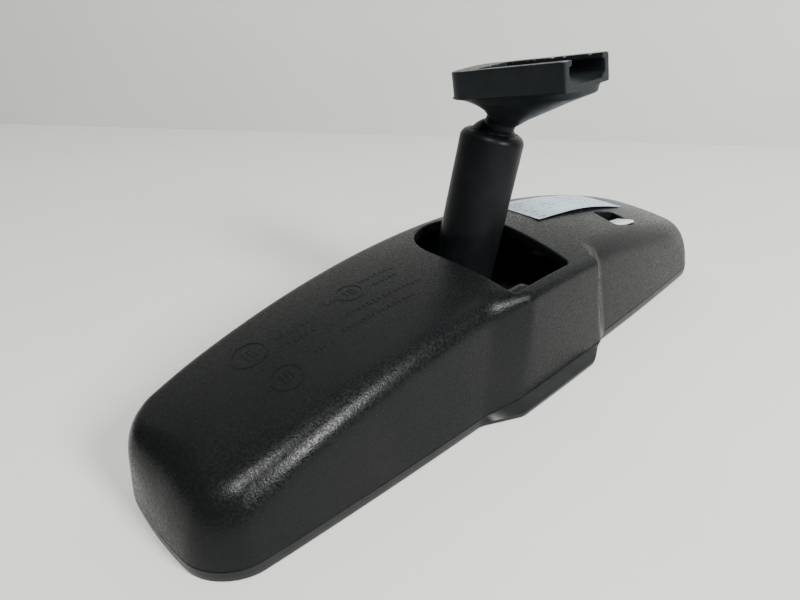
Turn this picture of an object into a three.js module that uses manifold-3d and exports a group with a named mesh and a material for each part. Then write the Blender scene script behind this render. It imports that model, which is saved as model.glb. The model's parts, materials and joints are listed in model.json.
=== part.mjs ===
// Interior rearview mirror: a self-dimming mirror head on a double-ball arm with a slide-on
// windscreen foot. Millimetres. +X runs along the head, -Y towards its chin, +Z out of its back.
// The head lies glass down: z = 0 is the bezel's front rim, and the origin is the middle of that
// face. Every sub-part is one closed solid in one named mesh.
import * as THREE from 'three';
import * as BufferGeometryUtils from 'three/addons/utils/BufferGeometryUtils.js';
import Module from 'manifold-3d';

const wasm = await Module();
wasm.setup();

// ---------------------------------------------------------------- driving dimensions

const GAP = 0.3; // between pieces that touch
const DEGREE = Math.PI / 180;

// the head's outline: two swept long edges, straight ends, round corners and a chin
const HALF_LENGTH = 125;
const CHIN_EDGE = { y: -28.7, sweep: 4.0 }; // y at mid length, and how far it has swept in at the ends
const CREST_EDGE = { y: 34.9, sweep: 8.3 };
const CORNER_RADIUS = 13.5;
const END_BOW = { y: -3, radius: 130 }; // the ends bulge furthest at this y

// the chin: how far it reaches, where its flanks start and where they end in its flat; its wide
// rim is symmetrical, the housing above it leans in towards the top
const RIM_CHIN = { reach: 6.2, rootLow: -34.2, flatLow: -21, flatHigh: 21, rootHigh: 34.2 };
const HOUSING_CHIN = { reach: 2.3, rootLow: -33.3, flatLow: -17.6, flatHigh: 31, rootHigh: 37.5 };
const CHIN_TOP = { reach: 2.3, rootLow: -26.5, flatLow: -10.9, flatHigh: 28.5, rootHigh: 36 };
const NO_CHIN = { ...RIM_CHIN, reach: 0 };
const FLANK_ROUNDING = 0.12; // share of a flank's length that its end corners take up

// the housing: drafted walls that meet a gently crowned back in a fillet
const PARTING_Z = 3.7;
const BACK = { z: 42.5, yCrest: 10.8, bendX: 0.00135, bendY: 0.0039 };
const DRAFT = { wall: 0.2035, chin: 0.13, crest: 0.06 }; // slope: inset per unit of height
const FILLET = { side: 7, end: 8, chin: 3, crest: 4.5 };
const END_DROP = 1.7; // how much deeper than wide the fillet is at the ends
const CREST_BLEND = 25; // over which y the wall turns from the sides' slope to the crest's
const WALL = 1.9;

// the arm's window in the housing: a keystone with a half-round top
const WINDOW = { chinY: -23, chinHalf: 15.4, archY: 8.8, archRadius: 18.1 };
// the gap in the bezel's inner wall behind the button and its light pipes
const KEY_POCKET = { halfX: 17.5, y0: -28.4, y1: -24.9, z0: 1.0, z1: 9 };
const SENSOR_WINDOW = { x: 71, y: -8.4, halfX: 5.8, halfY: 6.2, turn: -12 * DEGREE };

// the stack behind the front rim
const GLASS = { inset: 3.9, front: 1.3, lite: 2.0 };
const REAR_LITE_INSET = 1.2; // how far the rear sheet stands back from the front one's edge
const SEAL_WIDTH = 1.9;
const CELL_GAP = 0.4; // the thickness of the dimming layer and of its seal
const CARRIER = { inset: 6.5, z: 7.9, thickness: 1.5 };
const BOARD = { x0: -58, x1: 82, y0: -22.2, y1: -5, z: 11.3, thickness: 1.6 };
const BALL_PLATE = { z: 9.7, thickness: 1.5, halfX: 21, y0: -3.2, y1: 27 };

// the double-ball arm
const LOWER_BALL = new THREE.Vector3(0, 12, 19.1);
const ARM = { leanX: 10.2 * DEGREE, leanY: 3.9 * DEGREE, span: 54.4, radius: 10.7, pastBall: 4.2 };
const BALL_RADIUS = 8.5;
const BORE_RADIUS = 9.3;
const LINER = { inner: 8.7, outer: 9.0 };
const SEAT_SPHERE = 9.2;
const NECK_RADIUS = 4.6; // of the ball stud in the head

// the windscreen foot, whose own frame has its origin at the upper ball's centre
const FOOT = { yaw: 4.7 * DEGREE, pitch: -10 * DEGREE, halfWidth: 13.7, openY: -35.1, closedY: 9.9 };
const FOOT_WALL = { z0: 16, z1: 24.4, thickness: 2.6, nearEndY: 3.4 };
const CHANNEL = { floorZ: 18.6, rampY: -29, rampDrop: 1.2, lip: 1.6, lipThickness: 1.6 };
const FOOT_NECK = { lean: 33 * DEGREE, radius: 5, length: 9.9, shank: 3.3, shankTip: 20 };

// ---------------------------------------------------------------- materials

const finish = (color, roughness, metalness = 0) =>
  new THREE.MeshStandardMaterial({ color, roughness, metalness });
const MATERIALS = {
  housing: finish(0x26272a, 0.72),
  bezel: finish(0x2c2e30, 0.5),
  satinBlack: finish(0x141518, 0.42),
  glass: finish(0x9fb4b8, 0.08, 0.1),
  gel: finish(0x5b6f73, 0.2),
  seal: finish(0x3b3d3c, 0.6),
  spring: finish(0x9aa0a4, 0.35, 0.9),
  foam: finish(0x333335, 0.95),
  carrier: finish(0x3a3b3d, 0.7),
  board: finish(0x2d5a3b, 0.55),
  nylonBlack: finish(0x1c1d20, 0.5),
  gold: finish(0xc9a24b, 0.3, 0.9),
  zinc: finish(0x8a8178, 0.5, 0.8),
  steel: finish(0x8f9498, 0.35, 0.9),
  lens: finish(0xd8dcd8, 0.25),
  led: finish(0x6fae5c, 0.3),
  chip: finish(0x18191b, 0.6),
  can: finish(0xb4b8bc, 0.35, 0.8),
  paper: finish(0xe2e6e8, 0.85),
  acetal: finish(0xd9d6cc, 0.55),
  button: finish(0x1b1c1e, 0.5),
};

// ---------------------------------------------------------------- solids and booleans

function toSolid(geometry) {
  const bare = geometry.clone();
  bare.deleteAttribute('normal');
  bare.deleteAttribute('uv');
  const merged = BufferGeometryUtils.mergeVertices(bare, 1e-4);
  return new wasm.Manifold(new wasm.Mesh({
    numProp: 3,
    vertProperties: new Float32Array(merged.attributes.position.array),
    triVerts: new Uint32Array(merged.index.array),
  }));
}

function toGeometry(solid) {
  const mesh = solid.getMesh();
  const geometry = new THREE.BufferGeometry();
  geometry.setAttribute('position', new THREE.BufferAttribute(mesh.vertProperties, 3));
  geometry.setIndex(new THREE.BufferAttribute(mesh.triVerts, 1));
  geometry.computeVertexNormals();
  return geometry;
}

const cut = (geometry, ...tools) =>
  toGeometry(tools.reduce((solid, tool) => solid.subtract(toSolid(tool)), toSolid(geometry)));
const join = (geometry, ...others) =>
  toGeometry(others.reduce((solid, other) => solid.add(toSolid(other)), toSolid(geometry)));

// ---------------------------------------------------------------- simple shapes

const block = (x0, x1, y0, y1, z0, z1) =>
  new THREE.BoxGeometry(x1 - x0, y1 - y0, z1 - z0)
    .translate((x0 + x1) / 2, (y0 + y1) / 2, (z0 + z1) / 2);

const drum = (radius, x, y, z0, z1, sides = 20, topRadius = radius) =>
  new THREE.CylinderGeometry(topRadius, radius, z1 - z0, sides)
    .rotateX(Math.PI / 2).translate(x, y, (z0 + z1) / 2);

// a flat-ended prism of a shape, or of a closed list of points, between two heights
function prism(outline, z0, z1) {
  const shape = Array.isArray(outline) ? new THREE.Shape(outline) : outline;
  return new THREE.ExtrudeGeometry(shape, { depth: z1 - z0, bevelEnabled: false, curveSegments: 6 })
    .translate(0, 0, z0);
}

// a flat ring between two outlines
function ringPrism(outer, inner, z0, z1) {
  const shape = new THREE.Shape(outer);
  shape.holes.push(new THREE.Path(inner));
  return prism(shape, z0, z1);
}

// a turned piece about +Z from [radius, height] points that run upwards
const turned = (profile, sides = 22) =>
  new THREE.LatheGeometry(profile.map(([r, z]) => new THREE.Vector2(r, z)), sides)
    .rotateX(Math.PI / 2);

// points of a circular arc in a turned profile; angles from +Z, clockwise towards +R
function arc(radius, from, to, steps, r0 = 0, z0 = 0) {
  return Array.from({ length: steps + 1 }, (_, i) => {
    const angle = THREE.MathUtils.lerp(from, to, i / steps) * DEGREE;
    return [r0 + radius * Math.sin(angle), z0 + radius * Math.cos(angle)];
  });
}

// a rectangle with round corners, about a centre
function roundedRectangle(x0, x1, y0, y1, radius) {
  const shape = new THREE.Shape();
  shape.absarc(x1 - radius, y0 + radius, radius, -Math.PI / 2, 0);
  shape.absarc(x1 - radius, y1 - radius, radius, 0, Math.PI / 2);
  shape.absarc(x0 + radius, y1 - radius, radius, Math.PI / 2, Math.PI);
  shape.absarc(x0 + radius, y0 + radius, radius, Math.PI, 1.5 * Math.PI);
  return shape;
}

// a closed skin over rings of equal length: flat on the first ring, and on the last one too
// unless its points already meet in pairs
function loft(rings, lastMeets = false) {
  const count = rings[0].length;
  const positions = rings.flat().flatMap((p) => [p.x, p.y, p.z]);
  const index = [];
  for (let j = 0; j + 1 < rings.length; j += 1) {
    for (let i = 0; i < count; i += 1) {
      const a = j * count + i;
      const b = j * count + ((i + 1) % count);
      index.push(a, b, b + count, a, b + count, a + count);
    }
  }
  const flatRing = (ring) => ring.map((p) => new THREE.Vector2(p.x, p.y));
  const last = (rings.length - 1) * count;
  for (const [a, b, c] of THREE.ShapeUtils.triangulateShape(flatRing(rings[0]), [])) {
    index.push(c, b, a);
  }
  const lid = lastMeets ? [] : THREE.ShapeUtils.triangulateShape(flatRing(rings.at(-1)), []);
  for (const [a, b, c] of lid) {
    index.push(last + a, last + b, last + c);
  }
  return meshOf(positions, index);
}

// points and triangles as a geometry, with meeting points merged and flattened triangles left out
function meshOf(positions, index) {
  const loose = new THREE.BufferGeometry();
  loose.setAttribute('position', new THREE.Float32BufferAttribute(positions, 3));
  loose.setIndex(index);
  const geometry = BufferGeometryUtils.mergeVertices(loose, 1e-3);
  const merged = Array.from(geometry.index.array);
  const kept = [];
  for (let i = 0; i < merged.length; i += 3) {
    const [a, b, c] = merged.slice(i, i + 3);
    if (a !== b && b !== c && c !== a) kept.push(a, b, c);
  }
  geometry.setIndex(kept);
  geometry.computeVertexNormals();
  return geometry;
}

// ---------------------------------------------------------------- the head's outline

const backHeight = (x, y) =>
  BACK.z - BACK.bendX * x * x - BACK.bendY * (y - BACK.yCrest) ** 2;

const edgeY = (edge, x) => edge.y - Math.sign(edge.y) * edge.sweep * (x / HALF_LENGTH) ** 2;

// 0 to 1 over a flank, with rounded corners at both ends
function flankRamp(t) {
  const k = FLANK_ROUNDING;
  if (t <= -k || t >= 1 + k) return t < 0.5 ? 0 : 1;
  if (t < k) return (t + k) ** 2 / (4 * k);
  return t > 1 - k ? 1 - (1 + k - t) ** 2 / (4 * k) : t;
}

const chinShare = (chin, x) => Math.min(
  flankRamp((x - chin.rootLow) / (chin.flatLow - chin.rootLow)),
  flankRamp((x - chin.rootHigh) / (chin.flatHigh - chin.rootHigh)),
);

const spread = (from, to, steps) =>
  Array.from({ length: steps }, (_, i) => THREE.MathUtils.lerp(from, to, i / steps));

// x stations that both long edges share, closest together on the corners of the chin's flanks
const straightHalf = HALF_LENGTH - CORNER_RADIUS;
function edgeStations(chin) {
  const k = FLANK_ROUNDING;
  const flank = [-k, 0, k, 0.5, 1 - k, 1, 1 + k];
  const low = flank.map((t) => THREE.MathUtils.lerp(chin.rootLow, chin.flatLow, t));
  const high = flank.map((t) => THREE.MathUtils.lerp(chin.rootHigh, chin.flatHigh, t)).reverse();
  return [
    ...spread(-straightHalf, low[0], 4),
    ...low,
    0,
    ...high,
    ...spread(straightHalf, high.at(-1), 4).reverse(),
  ];
}

// pulls the ends in away from where they bulge furthest
function bowed(point) {
  const start = HALF_LENGTH - 2 * CORNER_RADIUS;
  const share = THREE.MathUtils.smoothstep(Math.abs(point.x), start, HALF_LENGTH);
  const pull = share * (point.y - END_BOW.y) ** 2 / (2 * END_BOW.radius);
  return new THREE.Vector2(point.x - Math.sign(point.x) * pull, point.y);
}

// the outline counter-clockwise from the chin side's low-x end, moved in by an inset
function headOutline(inset, chin) {
  const corner = (x, y, from) => spread(from, from + 90, 6).concat(from + 90).map((angle) =>
    new THREE.Vector2(
      x + CORNER_RADIUS * Math.cos(angle * DEGREE),
      y + CORNER_RADIUS * Math.sin(angle * DEGREE),
    ));
  const cornerY = (edge) => edgeY(edge, straightHalf) - Math.sign(edge.y) * CORNER_RADIUS;
  const end = (x, from, to) => spread(from, to, 5).slice(1).map((y) => new THREE.Vector2(x, y));
  const stations = edgeStations(chin);
  const points = [
    ...stations.slice(0, -1)
      .map((x) => new THREE.Vector2(x, edgeY(CHIN_EDGE, x) - chin.reach * chinShare(chin, x))),
    ...corner(straightHalf, cornerY(CHIN_EDGE), -90),
    ...end(HALF_LENGTH, cornerY(CHIN_EDGE), cornerY(CREST_EDGE)),
    ...corner(straightHalf, cornerY(CREST_EDGE), 0),
    ...stations.slice(1, -1).reverse().map((x) => new THREE.Vector2(x, edgeY(CREST_EDGE, x))),
    ...corner(-straightHalf, cornerY(CREST_EDGE), 90),
    ...end(-HALF_LENGTH, cornerY(CREST_EDGE), cornerY(CHIN_EDGE)),
    ...corner(-straightHalf, cornerY(CHIN_EDGE), 180).slice(0, -1),
  ].map(bowed);
  return points.map((point, i) => {
    const along = points[(i + 1) % points.length].clone().sub(points.at(i - 1)).normalize();
    return new THREE.Vector2(point.x - along.y * inset, point.y + along.x * inset);
  });
}

const atHeight = (outline, z) => outline.map((p) => new THREE.Vector3(p.x, p.y, z));

// the housing's outer body: drafted wall, fillet and crowned back; thinned by an offset
function housingBody(offset, bottomZ) {
  const foot = headOutline(offset, HOUSING_CHIN);
  const base = headOutline(offset, CHIN_TOP);
  const inward = headOutline(offset + 1, CHIN_TOP).map((p, i) => p.clone().sub(base[i]));
  const chinAt = (p) => (p.y < 0 ? chinShare(CHIN_TOP, p.x) : 0);
  // [distance in from the outline, depth below the back] from the wall's top over the fillet
  const profileAt = (point) => {
    const wallHeight = backHeight(point.x, point.y) - offset - bottomZ;
    const towardsEnd = THREE.MathUtils.smoothstep(Math.abs(point.x), 95, 120);
    const towardsCrest = THREE.MathUtils.smoothstep(point.y, 0, CREST_BLEND);
    const blend = (side, chin, crest) => THREE.MathUtils.lerp(
      THREE.MathUtils.lerp(side, chin, chinAt(point)), crest, towardsCrest);
    const side = THREE.MathUtils.lerp(FILLET.side, FILLET.end, towardsEnd);
    const fillet = blend(side, FILLET.chin, FILLET.crest);
    const draft = blend(DRAFT.wall, DRAFT.chin, DRAFT.crest);
    const top = wallHeight * draft;
    const drop = fillet * THREE.MathUtils.lerp(1, END_DROP, towardsEnd);
    return new THREE.QuadraticBezierCurve(
      new THREE.Vector2(top - draft * drop, drop),
      new THREE.Vector2(top, 0),
      new THREE.Vector2(top + fillet, 0),
    ).getPoints(5);
  };
  const onBack = (x, y, depth) => new THREE.Vector3(x, y, backHeight(x, y) - offset - depth);
  const profiles = base.map(profileAt);
  const topRings = profiles[0].map((_, j) => base.map((point, i) => {
    const place = point.clone().addScaledVector(inward[i], profiles[i][j].x);
    return onBack(place.x, place.y, profiles[i][j].y);
  }));
  const spineHalf = HALF_LENGTH - 2 * CORNER_RADIUS;
  const spine = headOutline(0, CHIN_TOP).map((point) => new THREE.Vector2(
    THREE.MathUtils.clamp(point.x, -spineHalf, spineHalf),
    (CHIN_EDGE.y + CREST_EDGE.y) / 2,
  ));
  const backRings = [0.35, 0.7, 1].map((share) => topRings.at(-1).map((point, i) => onBack(
    THREE.MathUtils.lerp(point.x, spine[i].x, share),
    THREE.MathUtils.lerp(point.y, spine[i].y, share),
    0,
  )));
  return loft([atHeight(foot, bottomZ), ...topRings, ...backRings], true);
}

// ---------------------------------------------------------------- head: casing

function windowShape() {
  const shape = new THREE.Shape();
  const corner = 2.5;
  shape.moveTo(-WINDOW.chinHalf + corner, WINDOW.chinY);
  shape.lineTo(WINDOW.chinHalf - corner, WINDOW.chinY);
  shape.quadraticCurveTo(WINDOW.chinHalf, WINDOW.chinY, WINDOW.chinHalf + 0.2, WINDOW.chinY + corner);
  shape.lineTo(WINDOW.archRadius, WINDOW.archY);
  shape.absarc(0, WINDOW.archY, WINDOW.archRadius, 0, Math.PI);
  shape.lineTo(-WINDOW.chinHalf - 0.2, WINDOW.chinY + corner);
  shape.quadraticCurveTo(-WINDOW.chinHalf, WINDOW.chinY, -WINDOW.chinHalf + corner, WINDOW.chinY);
  return shape;
}

function rearHousing() {
  const armWindow = prism(windowShape(), PARTING_Z, BACK.z + 10);
  const { x, y, halfX, halfY, turn } = SENSOR_WINDOW;
  const sensorWindow = block(-halfX, halfX, -halfY, halfY, PARTING_Z + 20, BACK.z)
    .rotateZ(turn).translate(x, y, 0);
  const hollow = housingBody(WALL, PARTING_Z - 1);
  return cut(housingBody(0, PARTING_Z + GAP), hollow, armWindow, sensorWindow);
}

// the bezel: a rim over the glass edge, an outer band and an inner wall that guides the housing
function bezel() {
  const section = [
    // [inset, height, chin]
    [0.4, 0, RIM_CHIN],
    [4.8, 0, NO_CHIN],
    [4.8, 1.0, NO_CHIN],
    [3.5, 1.0, NO_CHIN],
    [3.5, 6.0, NO_CHIN],
    [2.7, 6.0, NO_CHIN],
    [2.7, 1.2, HOUSING_CHIN],
    [2.0, PARTING_Z, HOUSING_CHIN],
    [0, PARTING_Z, HOUSING_CHIN],
    [0, 1.7, RIM_CHIN],
  ];
  const rings = section.map(([inset, z, chin]) => atHeight(headOutline(inset, chin), z));
  const band = sweptBand(rings);
  const { halfX, y0, y1, z0, z1 } = KEY_POCKET;
  const wallGap = block(-halfX, halfX, y0, y1, z0, z1);
  const buttonHole = prism(buttonOutline(GAP), -1, BUTTON.roof);
  const sideHoles = [-1, 1].map((side) =>
    drum(SENSOR_PIPE.radius + GAP, side * SENSOR_PIPE.x, SENSOR_PIPE.y, -1, 3, 16));
  return cut(band, wallGap, buttonHole, ...sideHoles);
}

// rings that follow one another round a closed section
function sweptBand(rings) {
  const count = rings[0].length;
  const index = [];
  rings.forEach((_, j) => {
    const next = (j + 1) % rings.length;
    for (let i = 0; i < count; i += 1) {
      const k = (i + 1) % count;
      index.push(j * count + i, next * count + i, next * count + k);
      index.push(j * count + i, next * count + k, j * count + k);
    }
  });
  return meshOf(rings.flat().flatMap((p) => [p.x, p.y, p.z]), index);
}

// ---------------------------------------------------------------- head: mirror cell

const frontGlassTop = GLASS.front + GLASS.lite;
const sealZ = frontGlassTop + GAP;
const rearGlassZ = sealZ + CELL_GAP + GAP;
const rearGlassTop = rearGlassZ + GLASS.lite;

const sheet = (inset, z0, z1) => prism(headOutline(inset, NO_CHIN), z0, z1);
const frontGlass = () => sheet(GLASS.inset, GLASS.front, frontGlassTop);
const rearGlass = () => sheet(GLASS.inset + REAR_LITE_INSET, rearGlassZ, rearGlassTop);
const dimmingGel = () =>
  sheet(GLASS.inset + REAR_LITE_INSET + SEAL_WIDTH + GAP, sealZ, sealZ + CELL_GAP);
const cellSeal = () =>
  ringPrism(
    headOutline(GLASS.inset + REAR_LITE_INSET, NO_CHIN),
    headOutline(GLASS.inset + REAR_LITE_INSET + SEAL_WIDTH, NO_CHIN),
    sealZ,
    sealZ + CELL_GAP,
  );

// a spring-metal strip along the back of the rear lite, with a tab up to the board
const BUS = { chinY: -21.6, crestY: 26.5, halfX: 48, halfWidth: 1.6, thickness: 0.4, tabX: 44, tabTop: 11 };
const busY = (side) => (side < 0 ? BUS.chinY : BUS.crestY);
const busTabY = (side) => busY(side) + side * (BUS.halfWidth - BUS.thickness / 2);
function busClip(side) {
  const { halfX, halfWidth, thickness, tabX, tabTop } = BUS;
  const y = busY(side);
  const z = rearGlassTop + GAP;
  const strip = block(-halfX, halfX, y - halfWidth, y + halfWidth, z, z + thickness);
  const x = side * tabX;
  const tabY = busTabY(side);
  const tab = block(x - 2, x + 2, tabY - thickness / 2, tabY + thickness / 2, z, tabTop);
  return join(strip, tab);
}

// ---------------------------------------------------------------- head: carrier and board

const BOARD_POSTS = [[-52, -17], [-52, -9], [77, -17], [77, -9]];
const BOARD_SCREWS = [[-52, -13], [77, -13]];
const FOAM_INSET = 11;
const STUD_CLEARANCE = 6.5; // round the rivet end of the ball stud
const PLATE_SCREWS = [[-17, 0.5], [17, 0.5], [-17, 23.4], [17, 23.4]];

function foamPad() {
  const pad = prism(headOutline(FOAM_INSET, NO_CHIN), rearGlassTop + GAP, CARRIER.z - GAP);
  return cut(pad, drum(STUD_CLEARANCE, LOWER_BALL.x, LOWER_BALL.y, 0, CARRIER.z, 24));
}

function carrierPlate() {
  const top = CARRIER.z + CARRIER.thickness;
  const plate = prism(headOutline(CARRIER.inset, NO_CHIN), CARRIER.z, top);
  const posts = BOARD_POSTS.map(([x, y]) => drum(2, x, y, top - 1, BOARD.z - GAP, 12));
  const bosses = BOARD_SCREWS.map(([x, y]) => drum(2.6, x, y, top - 1, BOARD.z - GAP, 14));
  const pilots = [...BOARD_SCREWS, ...PLATE_SCREWS].map(([x, y]) =>
    drum(1.7, x, y, CARRIER.z - 1, BOARD.z, 12));
  const tabSlots = [-1, 1].map((side) => {
    const x = side * BUS.tabX;
    const y = busTabY(side);
    return block(x - 2.6, x + 2.6, y - 0.8, y + 0.8, CARRIER.z - 1, top + 1);
  });
  return cut(join(plate, ...posts, ...bosses), ...pilots, ...tabSlots,
    drum(STUD_CLEARANCE, LOWER_BALL.x, LOWER_BALL.y, CARRIER.z - 1, top + 1, 24));
}

const BOARD_TAB = { halfX: 16, y: -27.2 }; // reaches out over the button
function circuitBoard() {
  const { halfX, y } = BOARD_TAB;
  const tab = block(-halfX, halfX, y, BOARD.y0 + 1, BOARD.z, BOARD.z + BOARD.thickness);
  const board = block(BOARD.x0, BOARD.x1, BOARD.y0, BOARD.y1, BOARD.z, BOARD.z + BOARD.thickness);
  const holes = BOARD_SCREWS.map(([x, y]) => drum(1.7, x, y, BOARD.z - 1, BOARD.z + 3, 12));
  return cut(join(board, tab), ...holes);
}

const boardTop = BOARD.z + BOARD.thickness;

// the lead's header: an open box, taller on the side of the latch
const CONNECTOR = { x: 0, y: -14.3, halfX: 9.2, halfY: 5.4, wall: 1.3, floorZ: 16.4, topZ: 27.5 };
function mainConnector() {
  const { x, y, halfX, halfY, wall, floorZ, topZ } = CONNECTOR;
  const shell = roundedRectangle(x - halfX, x + halfX, y - halfY, y + halfY, 1.6);
  const cavity = roundedRectangle(
    x - halfX + wall, x + halfX - wall, y - halfY + wall, y + halfY - wall, 1);
  return cut(prism(shell, boardTop + GAP, topZ), prism(cavity, floorZ, topZ + 1));
}

// one of two rows of square contacts standing on the header's floor
const PINS_PER_ROW = 5;
const PIN_PITCH = 2.54;
const PIN_HALF_WIDTH = 0.32;
const PIN_LENGTH = 7;
function connectorPin(column, row) {
  const x = CONNECTOR.x + (column - (PINS_PER_ROW - 1) / 2) * PIN_PITCH;
  const y = CONNECTOR.y + (row - 0.5) * PIN_PITCH;
  return block(
    x - PIN_HALF_WIDTH, x + PIN_HALF_WIDTH, y - PIN_HALF_WIDTH, y + PIN_HALF_WIDTH,
    CONNECTOR.floorZ + GAP, CONNECTOR.floorZ + PIN_LENGTH);
}

// the spring strip beside the header that earths the plug's shell: a foot, a leg and a bent tip
const EARTH = { x: -13.4, foot: 2.8, tip: 1.8, sheet: 0.6, y0: -19.5, y1: -15.5, top: 27 };
function earthStrip() {
  const { x, foot, tip, sheet: gauge, y0, y1, top } = EARTH;
  const bottom = boardTop + GAP;
  return join(
    block(x, x + foot, y0, y1, bottom, bottom + gauge + 0.2),
    block(x, x + gauge, y0, y1, bottom, top),
    block(x, x + tip, y0, y1, top - gauge, top),
  );
}

function ballPlate() {
  const { z, thickness, halfX, y0, y1 } = BALL_PLATE;
  const plate = prism(roundedRectangle(-halfX, halfX, y0, y1, 4), z, z + thickness);
  const holes = PLATE_SCREWS.map(([x, y]) => drum(1.7, x, y, z - 1, z + 3, 12));
  return cut(plate, ...holes, drum(3.9, LOWER_BALL.x, LOWER_BALL.y, z - 1, z + 3, 24));
}

// a pan-head screw, head up, whose shank passes the sheet under it
const panScrew = ([x, y], sheetTop, tipZ) =>
  join(
    drum(2.9, x, y, sheetTop + GAP, sheetTop + GAP + 1.5, 16, 2.2),
    drum(1.3, x, y, tipZ, sheetTop + GAP + 0.5, 12),
  );

// ---------------------------------------------------------------- head: sensors and button

const SENSOR_PIPE = { x: 13, y: -26.9, radius: 1.1 };
const PIPE_TOP = 8.6;
const lightPipe = (side) =>
  drum(SENSOR_PIPE.radius, side * SENSOR_PIPE.x, SENSOR_PIPE.y, 0.4, PIPE_TOP, 16);
const frontChip = (side) => block(
  side * SENSOR_PIPE.x - 1.4, side * SENSOR_PIPE.x + 1.4, SENSOR_PIPE.y, SENSOR_PIPE.y + 2.2,
  PIPE_TOP + GAP, BOARD.z - GAP);

const BUTTON = { y: -29, halfLength: 6.5, halfWidth: 1.5, face: 0.4, roof: 3.1 };
function buttonOutline(grow) {
  const { y, halfLength, halfWidth } = BUTTON;
  const halfX = halfLength + grow;
  const halfY = halfWidth + grow;
  return roundedRectangle(-halfX, halfX, y - halfY, y + halfY, halfY - 0.01);
}
// the cap, the flange that keeps it behind the bezel, and the stem that reaches the switch
const STEM = { halfX: 1.6, y0: -28.4, y1: -25.6, z0: 1.9, tip: 7.3 };
const FLANGE = { halfX: 7.6, y0: -28.1, y1: -26.9, top: 2.6 };
const dimmingButton = () =>
  join(
    prism(buttonOutline(0), BUTTON.face, STEM.z0 + GAP),
    block(-FLANGE.halfX, FLANGE.halfX, FLANGE.y0, FLANGE.y1, STEM.z0, FLANGE.top),
    block(-STEM.halfX, STEM.halfX, STEM.y0, STEM.y1, STEM.z0, STEM.tip),
  );
const SWITCH = { halfX: 3, y0: -27.1, y1: -23.6, z: 8.7, plunger: { radius: 0.9, y: -26.3, z: 7.9 } };
const buttonSwitch = () =>
  join(
    block(-SWITCH.halfX, SWITCH.halfX, SWITCH.y0, SWITCH.y1, SWITCH.z, BOARD.z - GAP),
    drum(SWITCH.plunger.radius, 0, SWITCH.plunger.y, SWITCH.plunger.z, SWITCH.z + GAP, 14),
  );

// the rear light sensor on the board, and the lens that fills its window
const rearSensor = () =>
  block(SENSOR_WINDOW.x - 2, SENSOR_WINDOW.x + 2, -10.4, -6.4, boardTop + GAP, boardTop + 2.2);
function rearSensorLens() {
  const { x, y, halfX, halfY, turn } = SENSOR_WINDOW;
  const plate = block(-halfX + GAP, halfX - GAP, -halfY + GAP, halfY - 4, -1.2, 0)
    .rotateX(-14 * DEGREE);
  const pipe = block(-2.2, 2.2, -3, 0.4, -15.5, -0.8);
  return join(plate, pipe).rotateZ(turn).translate(x, y, 32.6);
}

const driverChip = () => block(24, 32, -17.5, -9.5, boardTop + GAP, boardTop + 1.9);
const filterCapacitor = () => drum(3.1, 46, -13.5, boardTop + GAP, boardTop + 7.5, 20);

// a paper sticker that follows the crowned back
function paperLabel() {
  const label = { x0: 33, x1: 94, y0: 1.8, y1: 24, turn: -1.5 * DEGREE, thickness: 0.25 };
  const columns = 12;
  const rows = 4;
  const layer = (lift) => {
    const points = [];
    for (let j = 0; j <= rows; j += 1) {
      for (let i = 0; i <= columns; i += 1) {
        const flat = new THREE.Vector2(
          THREE.MathUtils.lerp(label.x0, label.x1, i / columns),
          THREE.MathUtils.lerp(label.y0, label.y1, j / rows),
        ).rotateAround(new THREE.Vector2(label.x0, label.y0), label.turn);
        points.push(flat.x, flat.y, backHeight(flat.x, flat.y) + lift);
      }
    }
    return points;
  };
  return closedSheet(layer(GAP), layer(GAP + label.thickness), columns, rows);
}

// joins a lower and an upper grid of points into one thin closed sheet
function closedSheet(lower, upper, columns, rows) {
  const width = columns + 1;
  const lift = width * (rows + 1);
  const index = [];
  const quad = (a, b, c, d) => index.push(a, b, c, a, c, d);
  for (let j = 0; j < rows; j += 1) {
    for (let i = 0; i < columns; i += 1) {
      const a = j * width + i;
      quad(a, a + width, a + width + 1, a + 1);
      quad(lift + a, lift + a + 1, lift + a + width + 1, lift + a + width);
    }
  }
  for (let i = 0; i < columns; i += 1) {
    const far = rows * width + i;
    quad(i, i + 1, lift + i + 1, lift + i);
    quad(far + 1, far, lift + far, lift + far + 1);
  }
  for (let j = 0; j < rows; j += 1) {
    const near = j * width;
    const far = near + columns;
    quad(near + width, near, lift + near, lift + near + width);
    quad(far, far + width, lift + far + width, lift + far);
  }
  return meshOf([...lower, ...upper], index);
}

// ---------------------------------------------------------------- ball joints
// Turned about +Z with the ball's centre at z = 0 and the arm below it.

// a ball on a neck, then the rest of the stud as [radius, height] points; the neck points up
function ballStud(neckRadius, rest) {
  const neckAngle = Math.asin(neckRadius / BALL_RADIUS) / DEGREE;
  return turned([...arc(BALL_RADIUS, 180, neckAngle, 9), ...rest].map(([r, z]) => [Math.max(r, 0), z]));
}

const lowerBallStud = () => {
  const plateTop = LOWER_BALL.z - BALL_PLATE.z - BALL_PLATE.thickness; // seen from the ball, neck up
  const plateBottom = LOWER_BALL.z - BALL_PLATE.z;
  return ballStud(NECK_RADIUS, [
    [NECK_RADIUS, plateTop - GAP],
    [3.5, plateTop - GAP],
    [3.5, plateBottom + GAP],
    [5, plateBottom + GAP],
    [4.4, plateBottom + GAP + 1],
    [0, plateBottom + GAP + 1],
  ]).rotateX(Math.PI);
};

const upperBallStud = () => ballStud(FOOT_NECK.radius, [
  [FOOT_NECK.radius, FOOT_NECK.length - GAP],
  [FOOT_NECK.shank, FOOT_NECK.length - GAP],
  [FOOT_NECK.shank, FOOT_NECK.shankTip],
  [0, FOOT_NECK.shankTip],
]).rotateX(FOOT_NECK.lean);

// the thin nylon liner around the ball, open for the neck above and for the seat below
function ballLiner() {
  const outside = arc(LINER.outer, 150, 64, 6);
  return turned([...outside, ...arc(LINER.inner, 64, 150, 6), outside[0]]);
}

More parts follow.
